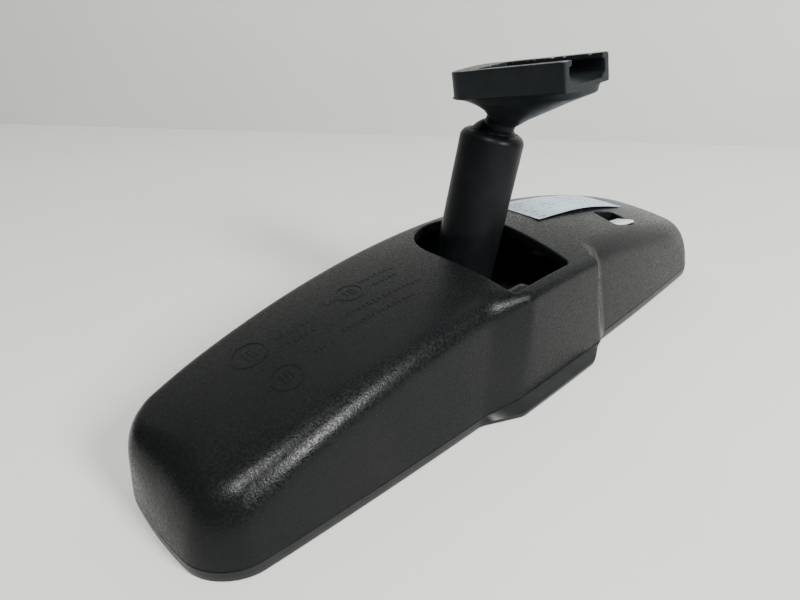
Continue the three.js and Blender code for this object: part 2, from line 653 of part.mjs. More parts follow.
// the piston that the spring presses against the lined ball
const ballSeat = () => turned([
  [3.6, -10.8],
  [7.2, -10.8],
  [7.2, -9.4],
  [9.0, -9.4],
  [9.0, SEAT_SPHERE * Math.cos(118 * DEGREE)],
  ...arc(SEAT_SPHERE, 118, 152, 4),
  [3.6, -10.8],
]);

function armTube() {
  const { radius, span, pastBall } = ARM;
  const mouth = Math.acos(pastBall / BORE_RADIUS) / DEGREE;
  const shoulder = 2.4;
  const upperHalf = [
    ...arc(shoulder, 90, 12, 4, radius - shoulder, pastBall - shoulder),
    ...arc(BORE_RADIUS, mouth, 90, 4),
  ];
  const lowerHalf = upperHalf.map(([r, z]) => [r, -span - z]).reverse();
  return turned([...upperHalf, ...lowerHalf, upperHalf[0]], 32);
}

// a closed-end compression spring between the two seats
function tensionSpring() {
  const wire = 0.8;
  const coil = { radius: 6.2, turns: 7 };
  const low = -ARM.span + 10.8 + GAP + wire;
  const high = -10.8 - GAP - wire;
  class Helix extends THREE.Curve {
    getPoint(t) {
      const angle = t * coil.turns * 2 * Math.PI;
      return new THREE.Vector3(
        coil.radius * Math.cos(angle),
        coil.radius * Math.sin(angle),
        THREE.MathUtils.lerp(low, high, t),
      );
    }
  }
  const section = new THREE.Shape(Array.from({ length: 5 }, (_, i) =>
    new THREE.Vector2(wire * Math.cos(i * 72 * DEGREE), wire * Math.sin(i * 72 * DEGREE))));
  return new THREE.ExtrudeGeometry(section, {
    steps: coil.turns * 12, extrudePath: new Helix(), bevelEnabled: false,
  });
}

// ---------------------------------------------------------------- windscreen foot

// an oval ring of the funnel under the foot's floor, from its [y, z] on the open side to its
// [y, z] on the closed side
function funnelRing(halfX, open, closed, squareness) {
  const count = 28;
  const reach = (v) => Math.sign(v) * Math.abs(v) ** squareness;
  return Array.from({ length: count }, (_, i) => {
    const angle = (i / count) * 2 * Math.PI;
    const share = (1 + reach(Math.sin(angle))) / 2;
    return new THREE.Vector3(
      halfX * reach(Math.cos(angle)),
      THREE.MathUtils.lerp(open[0], closed[0], share),
      THREE.MathUtils.lerp(open[1], closed[1], share),
    );
  });
}

// a shape drawn in y and z, swept along x between -half and half
const acrossFoot = (shape, half) =>
  new THREE.ExtrudeGeometry(shape, { depth: 2 * half, bevelEnabled: false, curveSegments: 5 })
    .translate(0, 0, -half).rotateY(Math.PI / 2).rotateX(Math.PI / 2);

// the channel shoe: two lipped walls on a floor, closed at +Y, open and ramped at -Y
function windscreenFoot() {
  const { halfWidth, openY, closedY } = FOOT;
  const { z0, z1, thickness, nearEndY } = FOOT_WALL;
  const { lean, radius, length, shank, shankTip } = FOOT_NECK;
  const plan = new THREE.Shape();
  plan.moveTo(-halfWidth, openY);
  plan.lineTo(halfWidth, openY);
  plan.lineTo(halfWidth, closedY - 5);
  plan.quadraticCurveTo(halfWidth, closedY, halfWidth - 5, closedY);
  plan.lineTo(-halfWidth + 7, nearEndY + 3.4);
  plan.quadraticCurveTo(-halfWidth, nearEndY + 1.6, -halfWidth, nearEndY - 4);
  const collar = radius + 0.6;
  const neckEnd = (side) => [
    -length * Math.sin(lean) + side * collar * Math.cos(lean),
    length * Math.cos(lean) + side * collar * Math.sin(lean),
  ];
  const funnel = loft([
    funnelRing(collar, neckEnd(-1), neckEnd(1), 1),
    funnelRing(7, [-14, 7], [0.6, 13], 0.92),
    funnelRing(9.4, [-20, 9], [3, 14.6], 0.8),
    funnelRing(11.5, [-28, 11.7], [5.4, 15.6], 0.65),
    funnelRing(12.4, [openY, 13.8], [7.2, z0], 0.5),
    funnelRing(13.5, [openY, z0 + 0.6], [7.8, z0 + 0.6], 0.4),
  ]);
  const innerHalf = halfWidth - thickness;
  const channelEnd = nearEndY - 5.4;
  const slot = (half, from, to) => block(-half, half, openY - 1, channelEnd, from, to);
  const wedge = new THREE.Shape();
  wedge.moveTo(CHANNEL.rampY, CHANNEL.floorZ + 1);
  wedge.lineTo(CHANNEL.rampY, CHANNEL.floorZ);
  wedge.lineTo(openY, CHANNEL.floorZ - CHANNEL.rampDrop);
  wedge.lineTo(openY - 1, CHANNEL.floorZ - CHANNEL.rampDrop);
  wedge.lineTo(openY - 1, CHANNEL.floorZ + 1);
  const shankHole = drum(shank + GAP, 0, 0, 5, shankTip + GAP, 20).rotateX(lean);
  return cut(
    join(prism(plan, z0, z1), funnel),
    slot(innerHalf, CHANNEL.floorZ, z1 - CHANNEL.lipThickness),
    slot(innerHalf - CHANNEL.lip, CHANNEL.floorZ, z1 + 1),
    acrossFoot(wedge, innerHalf - 1.5),
    shankHole,
  );
}

// the leaf that grips the windscreen button in the channel
function retainingClip() {
  const base = CHANNEL.floorZ + GAP;
  const leaf = new THREE.Shape();
  leaf.moveTo(-24, base);
  leaf.lineTo(-7, base);
  leaf.quadraticCurveTo(-12, base + 0.6, -16, base + 2.4);
  leaf.quadraticCurveTo(-20, base + 3.4, -23.4, base + 1.6);
  leaf.lineTo(-23.1, base + 1.1);
  leaf.quadraticCurveTo(-20, base + 2.7, -16.2, base + 1.8);
  leaf.quadraticCurveTo(-13, base + 0.6, -12, base + 0.5);
  leaf.lineTo(-24, base + 0.5);
  return acrossFoot(leaf, 4.5);
}

// ---------------------------------------------------------------- assembly

const mirror = new THREE.Group();
mirror.name = 'interior_rearview_mirror';

function add(parent, name, geometry, material) {
  const mesh = new THREE.Mesh(geometry, MATERIALS[material]);
  mesh.name = name;
  parent.add(mesh);
}

const head = new THREE.Group();
add(head, 'bezel', bezel(), 'bezel');
add(head, 'rear_housing', rearHousing(), 'housing');
add(head, 'front_glass', frontGlass(), 'glass');
add(head, 'dimming_gel', dimmingGel(), 'gel');
add(head, 'cell_seal', cellSeal(), 'seal');
add(head, 'rear_glass', rearGlass(), 'glass');
add(head, 'bus_clip_chin', busClip(-1), 'spring');
add(head, 'bus_clip_crest', busClip(1), 'spring');
add(head, 'foam_pad', foamPad(), 'foam');
add(head, 'carrier_plate', carrierPlate(), 'carrier');
add(head, 'circuit_board', circuitBoard(), 'board');
add(head, 'main_connector', mainConnector(), 'nylonBlack');
for (let row = 0; row < 2; row += 1) {
  for (let column = 0; column < PINS_PER_ROW; column += 1) {
    add(head, `connector_pin_${row * PINS_PER_ROW + column + 1}`, connectorPin(column, row), 'gold');
  }
}
add(head, 'earth_strip', earthStrip(), 'steel');
add(head, 'driver_chip', driverChip(), 'chip');
add(head, 'filter_capacitor', filterCapacitor(), 'can');
add(head, 'ball_plate', ballPlate(), 'zinc');
PLATE_SCREWS.forEach((place, i) => {
  const tip = CARRIER.z + 0.1;
  add(head, `plate_screw_${i + 1}`, panScrew(place, BALL_PLATE.z + BALL_PLATE.thickness, tip), 'steel');
});
BOARD_SCREWS.forEach((place, i) => {
  add(head, `board_screw_${i + 1}`, panScrew(place, boardTop, CARRIER.z + 0.1), 'steel');
});
add(head, 'rear_light_sensor', rearSensor(), 'chip');
add(head, 'rear_sensor_lens', rearSensorLens(), 'lens');
add(head, 'glare_sensor', frontChip(1), 'chip');
add(head, 'glare_sensor_lens', lightPipe(1), 'lens');
add(head, 'status_led', frontChip(-1), 'led');
add(head, 'status_led_lens', lightPipe(-1), 'lens');
add(head, 'dimming_button', dimmingButton(), 'button');
add(head, 'button_switch', buttonSwitch(), 'chip');
add(head, 'paper_label', paperLabel(), 'paper');
mirror.add(head);

const lowerStud = new THREE.Group();
lowerStud.position.copy(LOWER_BALL);
add(lowerStud, 'lower_ball_stud', lowerBallStud(), 'zinc');
mirror.add(lowerStud);

// the arm's own frame: origin at the upper ball, +Z along the arm towards the foot
const armAxis = new THREE.Vector3(Math.tan(ARM.leanX), -Math.tan(ARM.leanY), 1).normalize();
const upperBall = LOWER_BALL.clone().addScaledVector(armAxis, ARM.span);
const arm = new THREE.Group();
arm.position.copy(upperBall);
arm.quaternion.setFromUnitVectors(new THREE.Vector3(0, 0, 1), armAxis);
add(arm, 'arm_tube', armTube(), 'satinBlack');
add(arm, 'tension_spring', tensionSpring(), 'spring');
add(arm, 'upper_ball_liner', ballLiner(), 'acetal');
add(arm, 'upper_ball_seat', ballSeat(), 'acetal');
const lowerEnd = new THREE.Group();
lowerEnd.position.z = -ARM.span;
lowerEnd.rotation.x = Math.PI;
add(lowerEnd, 'lower_ball_liner', ballLiner(), 'acetal');
add(lowerEnd, 'lower_ball_seat', ballSeat(), 'acetal');
arm.add(lowerEnd);
mirror.add(arm);

const foot = new THREE.Group();
foot.position.copy(upperBall);
foot.rotation.set(FOOT.pitch, 0, FOOT.yaw, 'ZXY');
add(foot, 'upper_ball_stud', upperBallStud(), 'zinc');
add(foot, 'windscreen_foot', windscreenFoot(), 'satinBlack');
add(foot, 'retaining_clip', retainingClip(), 'spring');
mirror.add(foot);

export default mirror;
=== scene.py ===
"""Looks for the interior rearview mirror. The head lies glass down, the arm and the windscreen
foot stand out of its back. Shapes are worked out in millimetres and placed in metres."""

import json
import math

import bpy
import bmesh
import numpy as np
from mathutils import Matrix, Vector, noise


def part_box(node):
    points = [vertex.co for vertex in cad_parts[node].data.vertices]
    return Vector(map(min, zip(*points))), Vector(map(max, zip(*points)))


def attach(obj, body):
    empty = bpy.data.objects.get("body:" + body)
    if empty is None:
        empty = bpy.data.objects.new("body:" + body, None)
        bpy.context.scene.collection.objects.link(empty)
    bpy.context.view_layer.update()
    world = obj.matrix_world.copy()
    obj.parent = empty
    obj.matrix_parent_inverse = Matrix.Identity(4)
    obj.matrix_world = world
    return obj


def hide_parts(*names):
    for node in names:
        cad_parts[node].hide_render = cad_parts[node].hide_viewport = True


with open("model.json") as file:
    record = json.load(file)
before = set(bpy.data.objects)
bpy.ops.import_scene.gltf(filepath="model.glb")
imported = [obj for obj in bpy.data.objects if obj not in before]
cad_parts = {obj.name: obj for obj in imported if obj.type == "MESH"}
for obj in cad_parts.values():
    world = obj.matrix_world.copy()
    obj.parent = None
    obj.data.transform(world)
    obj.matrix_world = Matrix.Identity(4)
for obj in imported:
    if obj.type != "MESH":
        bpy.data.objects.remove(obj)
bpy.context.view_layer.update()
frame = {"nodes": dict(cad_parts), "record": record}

MM = 0.001

# ------------------------------------------------------------------ driving dimensions, in mm

HALF_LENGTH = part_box("bezel")[1].x / MM
CHIN_EDGE = (-28.7, 4.0)  # y at mid length, and how far it has swept in at the ends
CREST_EDGE = (34.9, 8.3)
CORNER_RADIUS = 13.5
END_BOW = (-3.0, 130.0)  # the y where the ends bulge furthest, and the bulge's radius
# the chin: reach, low-x root, low-x end of its flat, high-x end of its flat, high-x root
RIM_CHIN = (6.2, -34.2, -21.0, 21.0, 34.2)
HOUSING_CHIN = (2.3, -33.3, -17.6, 31.0, 37.5)
CHIN_TOP = (2.3, -26.5, -10.9, 28.5, 36.0)
NO_CHIN = (0.0,) + RIM_CHIN[1:]
FLANK_ROUNDING = 0.12  # share of a flank's length that its end corners take up
PARTING_Z = 3.7
BACK_Z = 42.5
BACK_CREST_Y = 10.8
BACK_BEND_X = 0.00135
BACK_BEND_Y = 0.0039
DRAFT = 0.2035
CHIN_DRAFT = 0.13
CREST_DRAFT = 0.06
END_DROP = 1.7  # how much deeper than wide the fillet is at the ends
CREST_BLEND = 25.0  # over which y the wall turns from the sides' slope to the crest's
FILLET_SIDE = 7.0
FILLET_END = 8.0
FILLET_CHIN = 3.0
FILLET_CREST = 4.5
WALL = 1.9
GAP = 0.3

WINDOW_CHIN_Y = -23.0
WINDOW_CHIN_HALF = 15.4
WINDOW_ARCH_Y = 8.8
WINDOW_ARCH_RADIUS = 18.1
RIM_WIDTH = 1.0

LOWER_BALL = np.array([0.0, 12.0, 19.1])
ARM_LEAN_X = math.radians(10.2)
ARM_LEAN_Y = math.radians(3.9)
ARM_SPAN = 54.4
ARM_RADIUS = 10.7
PAST_BALL = 4.2
BALL_RADIUS = 8.5
BORE_RADIUS = 9.3
NECK_LEAN = math.radians(33)
NECK_RADIUS = 5.0
NECK_LENGTH = 9.9
SHANK_RADIUS = 3.3
SHANK_TIP = 20.0

FOOT_YAW = math.radians(4.7)
FOOT_PITCH = math.radians(-10)
FOOT_HALF_WIDTH = 13.7
FOOT_OPEN_Y = -35.1
FOOT_CLOSED_Y = 9.9
FOOT_NEAR_END_Y = 3.4
FOOT_WALL_Z = (16.0, 24.4)
FOOT_WALL_THICKNESS = 2.6
CHANNEL_FLOOR_Z = 18.6

ARM_AXIS = Vector((math.tan(ARM_LEAN_X), -math.tan(ARM_LEAN_Y), 1)).normalized()
UPPER_BALL = Vector(LOWER_BALL) + ARM_AXIS * ARM_SPAN

# ------------------------------------------------------------------ mesh helpers


def add_object(name, data):
    obj = bpy.data.objects.new(name, data)
    bpy.context.scene.collection.objects.link(obj)
    return obj


def new_object(name, points, faces):
    """A mesh object from points in millimetres."""
    mesh = bpy.data.meshes.new(name)
    mesh.from_pydata((np.asarray(points, float) * MM).tolist(), [], [list(f) for f in faces])
    return add_object(name, mesh)


def tidy_mesh(obj, merge=1e-6, angle=32):
    """Merges meeting points, turns faces outwards and shades smooth up to an angle."""
    bm = bmesh.new()
    bm.from_mesh(obj.data)
    bmesh.ops.remove_doubles(bm, verts=bm.verts, dist=merge)
    bmesh.ops.recalc_face_normals(bm, faces=bm.faces)
    bm.to_mesh(obj.data)
    bm.free()
    obj.data.shade_smooth()
    obj.data.set_sharp_from_angle(angle=math.radians(angle))
    return obj


def apply_modifiers(obj):
    depsgraph = bpy.context.evaluated_depsgraph_get()
    mesh = bpy.data.meshes.new_from_object(obj.evaluated_get(depsgraph))
    obj.modifiers.clear()
    old = obj.data
    obj.data = mesh
    bpy.data.meshes.remove(old)
    return obj


def boolean(obj, tool, operation="DIFFERENCE"):
    modifier = obj.modifiers.new("cut", "BOOLEAN")
    modifier.operation = operation
    modifier.solver = "EXACT"
    modifier.object = tool
    bpy.context.view_layer.update()
    apply_modifiers(obj)
    bpy.data.objects.remove(tool)
    return obj


def join(name, objects):
    """One object made of several, with their loose parts kept."""
    bm = bmesh.new()
    for obj in objects:
        bm.from_mesh(obj.data)
        bpy.data.objects.remove(obj)
    mesh = bpy.data.meshes.new(name)
    bm.to_mesh(mesh)
    bm.free()
    return add_object(name, mesh)


def ring_faces(rows, count, closed_rows=False):
    """Quads between rows of a ring of points."""
    faces = []
    for j in range(rows if closed_rows else rows - 1):
        a = j * count
        b = ((j + 1) % rows) * count
        for i in range(count):
            k = (i + 1) % count
            faces.append((a + i, a + k, b + k, b + i))
    return faces


def loft(name, rings, cap_last=True):
    """A skin over rings of points, closed by a flat face at its first ring."""
    rings = [np.asarray(r, float) for r in rings]
    count = len(rings[0])
    faces = ring_faces(len(rings), count)
    faces.append(tuple(reversed(range(count))))
    if cap_last:
        last = (len(rings) - 1) * count
        faces.append(tuple(range(last, last + count)))
    return new_object(name, np.vstack(rings), faces)


def swept(name, rings):
    """A band whose section closes on itself."""
    rings = [np.asarray(r, float) for r in rings]
    return new_object(name, np.vstack(rings), ring_faces(len(rings), len(rings[0]), True))


def round_rings(profile, segments):
    """Rings of points about +Z, one for each (radius, height)."""
    angles = np.linspace(0, 2 * math.pi, segments, endpoint=False)
    return [np.column_stack((r * np.cos(angles), r * np.sin(angles), np.full(segments, z)))
            for r, z in profile]


def turned(name, profile, segments=96):
    """A solid turned about +Z from (radius, height) points."""
    return loft(name, round_rings(profile, segments))


def arc(radius, start, end, steps, r0=0.0, z0=0.0):
    """Profile points of an arc; angles from +Z, clockwise towards +R."""
    angles = np.radians(np.linspace(start, end, steps + 1))
    return [(r0 + radius * math.sin(a), z0 + radius * math.cos(a)) for a in angles]


def box_mesh(name, low, high, bevel=0.2, segments=2):
    """A block with rounded edges."""
    bm = bmesh.new()
    bmesh.ops.create_cube(bm, size=1)
    low, high = np.array(low, float), np.array(high, float)
    for v in bm.verts:
        v.co = Vector((low + high) / 2 + np.array(v.co) * (high - low)) * MM
    bmesh.ops.bevel(bm, geom=list(bm.edges), offset=bevel * MM, segments=segments,
                    affect="EDGES", profile=0.5, clamp_overlap=True)
    mesh = bpy.data.meshes.new(name)
    bm.to_mesh(mesh)
    bm.free()
    return add_object(name, mesh)


def prism(name, outline, z0, z1):
    outline = np.asarray(outline, float)
    return loft(name, [np.column_stack((outline, np.full(len(outline), z))) for z in (z0, z1)])


def rounded_rectangle(x0, x1, y0, y1, radius, steps=8):
    points = []
    for cx, cy, start in ((x1 - radius, y0 + radius, -90), (x1 - radius, y1 - radius, 0),
                          (x0 + radius, y1 - radius, 90), (x0 + radius, y0 + radius, 180)):
        for a in np.radians(np.linspace(start, start + 90, steps + 1)):
            points.append((cx + radius * math.cos(a), cy + radius * math.sin(a)))
    return np.array(points)


def quadratic(start, bend, end, steps=8):
    """Points of a curve that leaves its start and reaches its end towards the bend."""
    t = np.linspace(0, 1, steps + 1)[:, None]
    start, bend, end = (np.array(p, float) for p in (start, bend, end))
    return (1 - t) ** 2 * start + 2 * t * (1 - t) * bend + t ** 2 * end


def along_outline(points):
    """Unit directions along a closed outline."""
    along = np.roll(points, -1, 0) - np.roll(points, 1, 0)
    return along / np.linalg.norm(along, axis=1)[:, None]


def cast(obj, voxel, rounds):
    """Fuses what overlaps into one skin with soft cast edges."""
    remesh = obj.modifiers.new("fuse", "REMESH")
    remesh.mode = "VOXEL"
    remesh.voxel_size = voxel * MM
    smooth = obj.modifiers.new("soften", "SMOOTH")
    smooth.factor = 0.5
    smooth.iterations = rounds
    return apply_modifiers(obj)


def place(obj, matrix):
    obj.data.transform(matrix)
    return obj


# ------------------------------------------------------------------ the head's outline


def back_height(x, y):
    return BACK_Z - BACK_BEND_X * x ** 2 - BACK_BEND_Y * (y - BACK_CREST_Y) ** 2


def edge_y(edge, x):
    y, sweep = edge
    return y - math.copysign(sweep, y) * (x / HALF_LENGTH) ** 2


def smoothstep(t):
    t = np.clip(t, 0, 1)
    return t * t * (3 - 2 * t)


def flank_ramp(t):
    """0 to 1 over a flank, with rounded corners at both ends."""
    k = FLANK_ROUNDING
    low = (np.clip(t + k, 0, 2 * k)) ** 2 / (4 * k)
    high = 1 - (np.clip(1 + k - t, 0, 2 * k)) ** 2 / (4 * k)
    return np.where(t < k, low, np.where(t > 1 - k, high, t))


def chin_share(chin, x):
    _, root_low, flat_low, flat_high, root_high = chin
    return np.minimum(flank_ramp((x - root_low) / (flat_low - root_low)),
                      flank_ramp((x - root_high) / (flat_high - root_high)))


def between(a, b, share):
    """A chin shape part of the way from one to another."""
    return tuple(p + (q - p) * share for p, q in zip(a, b))


STRAIGHT_HALF = HALF_LENGTH - CORNER_RADIUS
CHIN_ZONE = 45.0  # the stations are closer together on the chin
EDGE_STATIONS = np.concatenate((
    np.linspace(-STRAIGHT_HALF, -CHIN_ZONE, 41)[:-1],
    np.linspace(-CHIN_ZONE, CHIN_ZONE, 181),
    np.linspace(CHIN_ZONE, STRAIGHT_HALF, 41)[1:],
))
CORNER_STEPS = 14
END_STATIONS = 14
END_ZONE = (95.0, 25.0)  # the x where the walls start turning into the ends', and over how far


def corner_arc(side_x, edge, start, end):
    """A corner's arc, tangent to the long edge that it meets."""
    y, sweep = edge
    slope = math.atan(2 * sweep * STRAIGHT_HALF / HALF_LENGTH ** 2)
    tangent_x = STRAIGHT_HALF + CORNER_RADIUS * math.sin(slope)
    centre_y = edge_y(edge, tangent_x) - math.copysign(CORNER_RADIUS * math.cos(slope), y)
    turn = math.degrees(slope)
    start += turn if start in (-90, 90) else 0
    end -= turn if end in (90, 270) else 0
    angles = np.radians(np.linspace(start, end, CORNER_STEPS + 1))
    return np.column_stack((
        side_x * STRAIGHT_HALF + CORNER_RADIUS * np.cos(angles),
        centre_y + CORNER_RADIUS * np.sin(angles),
    ))


def bowed(points):
    """Pulls the ends in away from where they bulge furthest."""
    x, y = points.T
    start = HALF_LENGTH - 2 * CORNER_RADIUS
    share = smoothstep((np.abs(x) - start) / (HALF_LENGTH - start))
    pull = share * (y - END_BOW[0]) ** 2 / (2 * END_BOW[1])
    return np.column_stack((x - np.sign(x) * pull, y))


def head_outline(inset, chin):
    """The outline counter-clockwise from the chin side, moved in by an inset."""
    x = EDGE_STATIONS[1:-1]
    corners = [corner_arc(1, CHIN_EDGE, -90, 0), corner_arc(1, CREST_EDGE, 0, 90),
               corner_arc(-1, CREST_EDGE, 90, 180), corner_arc(-1, CHIN_EDGE, 180, 270)]
    points = bowed(np.vstack((
        np.column_stack((x, edge_y(CHIN_EDGE, x) - chin[0] * chin_share(chin, x))),
        corners[0],
        np.linspace(corners[0][-1], corners[1][0], END_STATIONS)[1:-1],
        corners[1],
        np.column_stack((x, edge_y(CREST_EDGE, x)))[::-1],
        corners[2],
        np.linspace(corners[2][-1], corners[3][0], END_STATIONS)[1:-1],
        corners[3],
    )))
    along = along_outline(points)
    return points + inset * np.column_stack((-along[:, 1], along[:, 0]))


def at_height(outline, z):
    return np.column_stack((outline, np.full(len(outline), z)))


def housing_rings(offset, bottom_z, wall_steps=12, fillet_steps=12, back_steps=26):
    """The housing's skin: drafted wall, fillet and crowned back that ends on a spine."""

    def base_and_inward(chin):
        base = head_outline(offset, chin)
        return base, head_outline(offset + 1, chin) - base

    base, inward = base_and_inward(CHIN_TOP)
    x, y = base.T
    towards_end = smoothstep((np.abs(x) - END_ZONE[0]) / END_ZONE[1])
    side = FILLET_SIDE + (FILLET_END - FILLET_SIDE) * towards_end
    chin = np.where(y < 0, chin_share(CHIN_TOP, x), 0)
    crest = smoothstep(y / CREST_BLEND)
    fillet = side + (FILLET_CHIN - side) * chin + (FILLET_CREST - side) * crest
    draft = DRAFT + (CHIN_DRAFT - DRAFT) * chin + (CREST_DRAFT - DRAFT) * crest
    wall_height = back_height(x, y) - offset - bottom_z
    top = wall_height * draft
    drop = fillet * (1 + (END_DROP - 1) * towards_end)
    start = top - draft * drop

    def ring(foot, towards, distance, depth):
        spot = foot + towards * distance[:, None]
        return np.column_stack((spot, back_height(*spot.T) - offset - depth))

    rings = [at_height(head_outline(offset, HOUSING_CHIN), bottom_z)]
    for t in np.linspace(0, 1, wall_steps, endpoint=False)[1:]:
        lower = base_and_inward(between(HOUSING_CHIN, CHIN_TOP, t))
        rings.append(ring(*lower, start * t, wall_height + (drop - wall_height) * t))
    for t in np.linspace(0, 1, fillet_steps + 1):
        distance = (1 - t) ** 2 * start + 2 * t * (1 - t) * top + t ** 2 * (top + fillet)
        rings.append(ring(base, inward, distance, (1 - t) ** 2 * drop))
    spine_half = HALF_LENGTH - 2 * CORNER_RADIUS
    middle = head_outline(0, NO_CHIN)
    spine = np.column_stack((
        np.clip(middle[:, 0], -spine_half, spine_half),
        np.full(len(middle), (CHIN_EDGE[0] + CREST_EDGE[0]) / 2),
    ))
    edge = rings[-1][:, :2]
    for t in np.linspace(0, 1, back_steps + 1)[1:]:
        spot = edge + (spine - edge) * t
        rings.append(np.column_stack((spot, back_height(*spot.T) - offset)))
    return rings


# ------------------------------------------------------------------ head: casing


def window_outline(grow=0.0):
    """The arm's window: a keystone with a half-round top, grown outwards."""
    corner = 2.5
    half, low = WINDOW_CHIN_HALF, WINDOW_CHIN_Y
    right = quadratic((half - corner, low), (half, low), (half + 0.2, low + corner))
    angles = np.radians(np.linspace(0, 180, 61))
    arch = np.column_stack((
        WINDOW_ARCH_RADIUS * np.cos(angles),
        WINDOW_ARCH_Y + WINDOW_ARCH_RADIUS * np.sin(angles),
    ))
    side = np.linspace(right[-1], arch[0], 26)[1:-1]
    base = np.linspace((-half + corner, low), right[0], 22)[1:-1]
    mirrored = (np.vstack((right, side)) * (-1, 1))[::-1]
    points = np.vstack((base, right, side, arch, mirrored))
    along = along_outline(points)
    return points + grow * np.column_stack((along[:, 1], -along[:, 0]))


SENSOR_X, SENSOR_Y = 71.0, -8.4
SENSOR_HALF = (5.8, 6.2)
SENSOR_CORNER = 1.6
SENSOR_TURN = math.radians(-12)
SENSOR_RIM = 0.8


def sensor_outline(grow=0.0):
    """The small window over the rear light sensor, turned a little and grown outwards."""
    hx, hy = SENSOR_HALF
    points = rounded_rectangle(-hx - grow, hx + grow, -hy - grow, hy + grow,
                               SENSOR_CORNER + grow, 6)
    c, s = math.cos(SENSOR_TURN), math.sin(SENSOR_TURN)
    return points @ np.array([[c, s], [-s, c]]) + (SENSOR_X, SENSOR_Y)


def window_rim(name, outline_at, section):
    """A moulded edge round a window: section rows are (distance out, depth below the back)."""
    rings = []
    for distance, depth in section:
        spot = outline_at(distance)
        rings.append(np.column_stack((spot, back_height(*spot.T) - depth)))
    return swept(name, rings)


def rounded_lip(width, radius, depth, thickness):
    """A lip's section: flush outside, a rounded edge, and a wall that turns in."""
    edge = [(radius * (1 - math.sin(a)), radius * (1 - math.cos(a)))
            for a in np.radians(np.linspace(0, 90, 7))]
    return [(width, 0.004)] + edge + [(0, depth), (thickness, depth), (thickness, WALL),
                                      (width, WALL)]


def rear_housing():
    """The grained shell: its skin less its hollow, with a moulded edge round both windows."""
    outer = tidy_mesh(loft("outer", housing_rings(0, PARTING_Z + GAP), cap_last=False))
    inner = tidy_mesh(loft("inner", housing_rings(WALL, PARTING_Z - 1, 6, 6, 12), cap_last=False))
    shell = boolean(outer, inner)
    shell = boolean(shell, prism("window", window_outline(RIM_WIDTH), 10, 60))
    shell = boolean(shell, prism("sensor", sensor_outline(SENSOR_RIM), 20, 60))
    rim = window_rim("rim", window_outline, rounded_lip(RIM_WIDTH, 0.7, 3.4, 0.9))
    sensor_rim = window_rim("sensor_rim", sensor_outline,
                            rounded_lip(SENSOR_RIM, 0.5, 3.0, SENSOR_RIM))
    return tidy_mesh(join("housing_shell", [shell, rim, sensor_rim]), angle=38)


MARK_RINGS = [(-85.5, -3.0, 4.6), (-51.8, 11.0, 4.3), (-87.0, 12.4, 5.2)]  # x, y, radius
MARK_LINES = [  # x where a row of raised dashes starts, y there, and how far it runs
    (-46.5, 13.0, 13), (-61.5, 3.4, 29), (-64.5, -1.2, 25), (-74.8, -1.8, 6.5),
    (-78.7, 11.5, 10.5), (-77.5, 6.6, 8.5), (-60.5, 12.0, 4), (-44.0, 8.6, 9),
]
MARK_HEIGHT = 0.16
MARK_ROOT = 0.3  # how far a mark reaches into the wall
MARK_HALF_HEIGHT = 0.75
MARK_SPACE = 0.65
MARK_SLOPE = 0.12  # how a row of marks falls away along the cap


def raised(name, outline):
    """A low raised shape that follows the back."""
    outline = np.asarray(outline, float)
    rings = []
    for inset, lift in ((0.0, -MARK_ROOT), (0.0, MARK_HEIGHT * 0.6), (0.06, MARK_HEIGHT)):
        centre = outline.mean(axis=0)
        arms = outline - centre
        spot = centre + arms * (1 - inset / np.linalg.norm(arms, axis=1))[:, None]
        rings.append(np.column_stack((spot, back_height(*spot.T) + lift)))
    return loft(name, rings)


def raised_ring(x, y, radius, width=0.5):
    angles = np.linspace(0, 2 * math.pi, 64, endpoint=False)

    def circle(r, lift):
        spot = np.column_stack((x + r * np.cos(angles), y + r * np.sin(angles)))
        return np.column_stack((spot, back_height(*spot.T) + lift))

    return swept("mark", [circle(radius, -MARK_ROOT), circle(radius, MARK_HEIGHT),
                          circle(radius - width, MARK_HEIGHT), circle(radius - width, -MARK_ROOT)])


def moulded_marks():
    """Rings and rows of dashes that stand in for the moulded markings; they spell nothing."""
    pieces = [raised_ring(*ring) for ring in MARK_RINGS]
    for x, y, radius in MARK_RINGS:
        for step in (-1.2, 0.4, 1.6):
            pieces.append(raised("mark", rounded_rectangle(
                x + step - 0.3, x + step + 0.3, y - radius * 0.4, y + radius * 0.4, 0.25, 3)))
    for row, (x, y, run) in enumerate(MARK_LINES):
        at = 0.0
        while at < run:
            length = 0.7 + 0.9 * abs(noise.noise(Vector((at, row * 7.3, 1.5)))) * 2
            centre = y - MARK_SLOPE * at
            pieces.append(raised("mark", rounded_rectangle(
                x + at, x + at + length, centre - MARK_HALF_HEIGHT, centre + MARK_HALF_HEIGHT,
                0.3, 3)))
            at += length + MARK_SPACE
    return tidy_mesh(join("moulded_marks", pieces), 1e-7, 40)


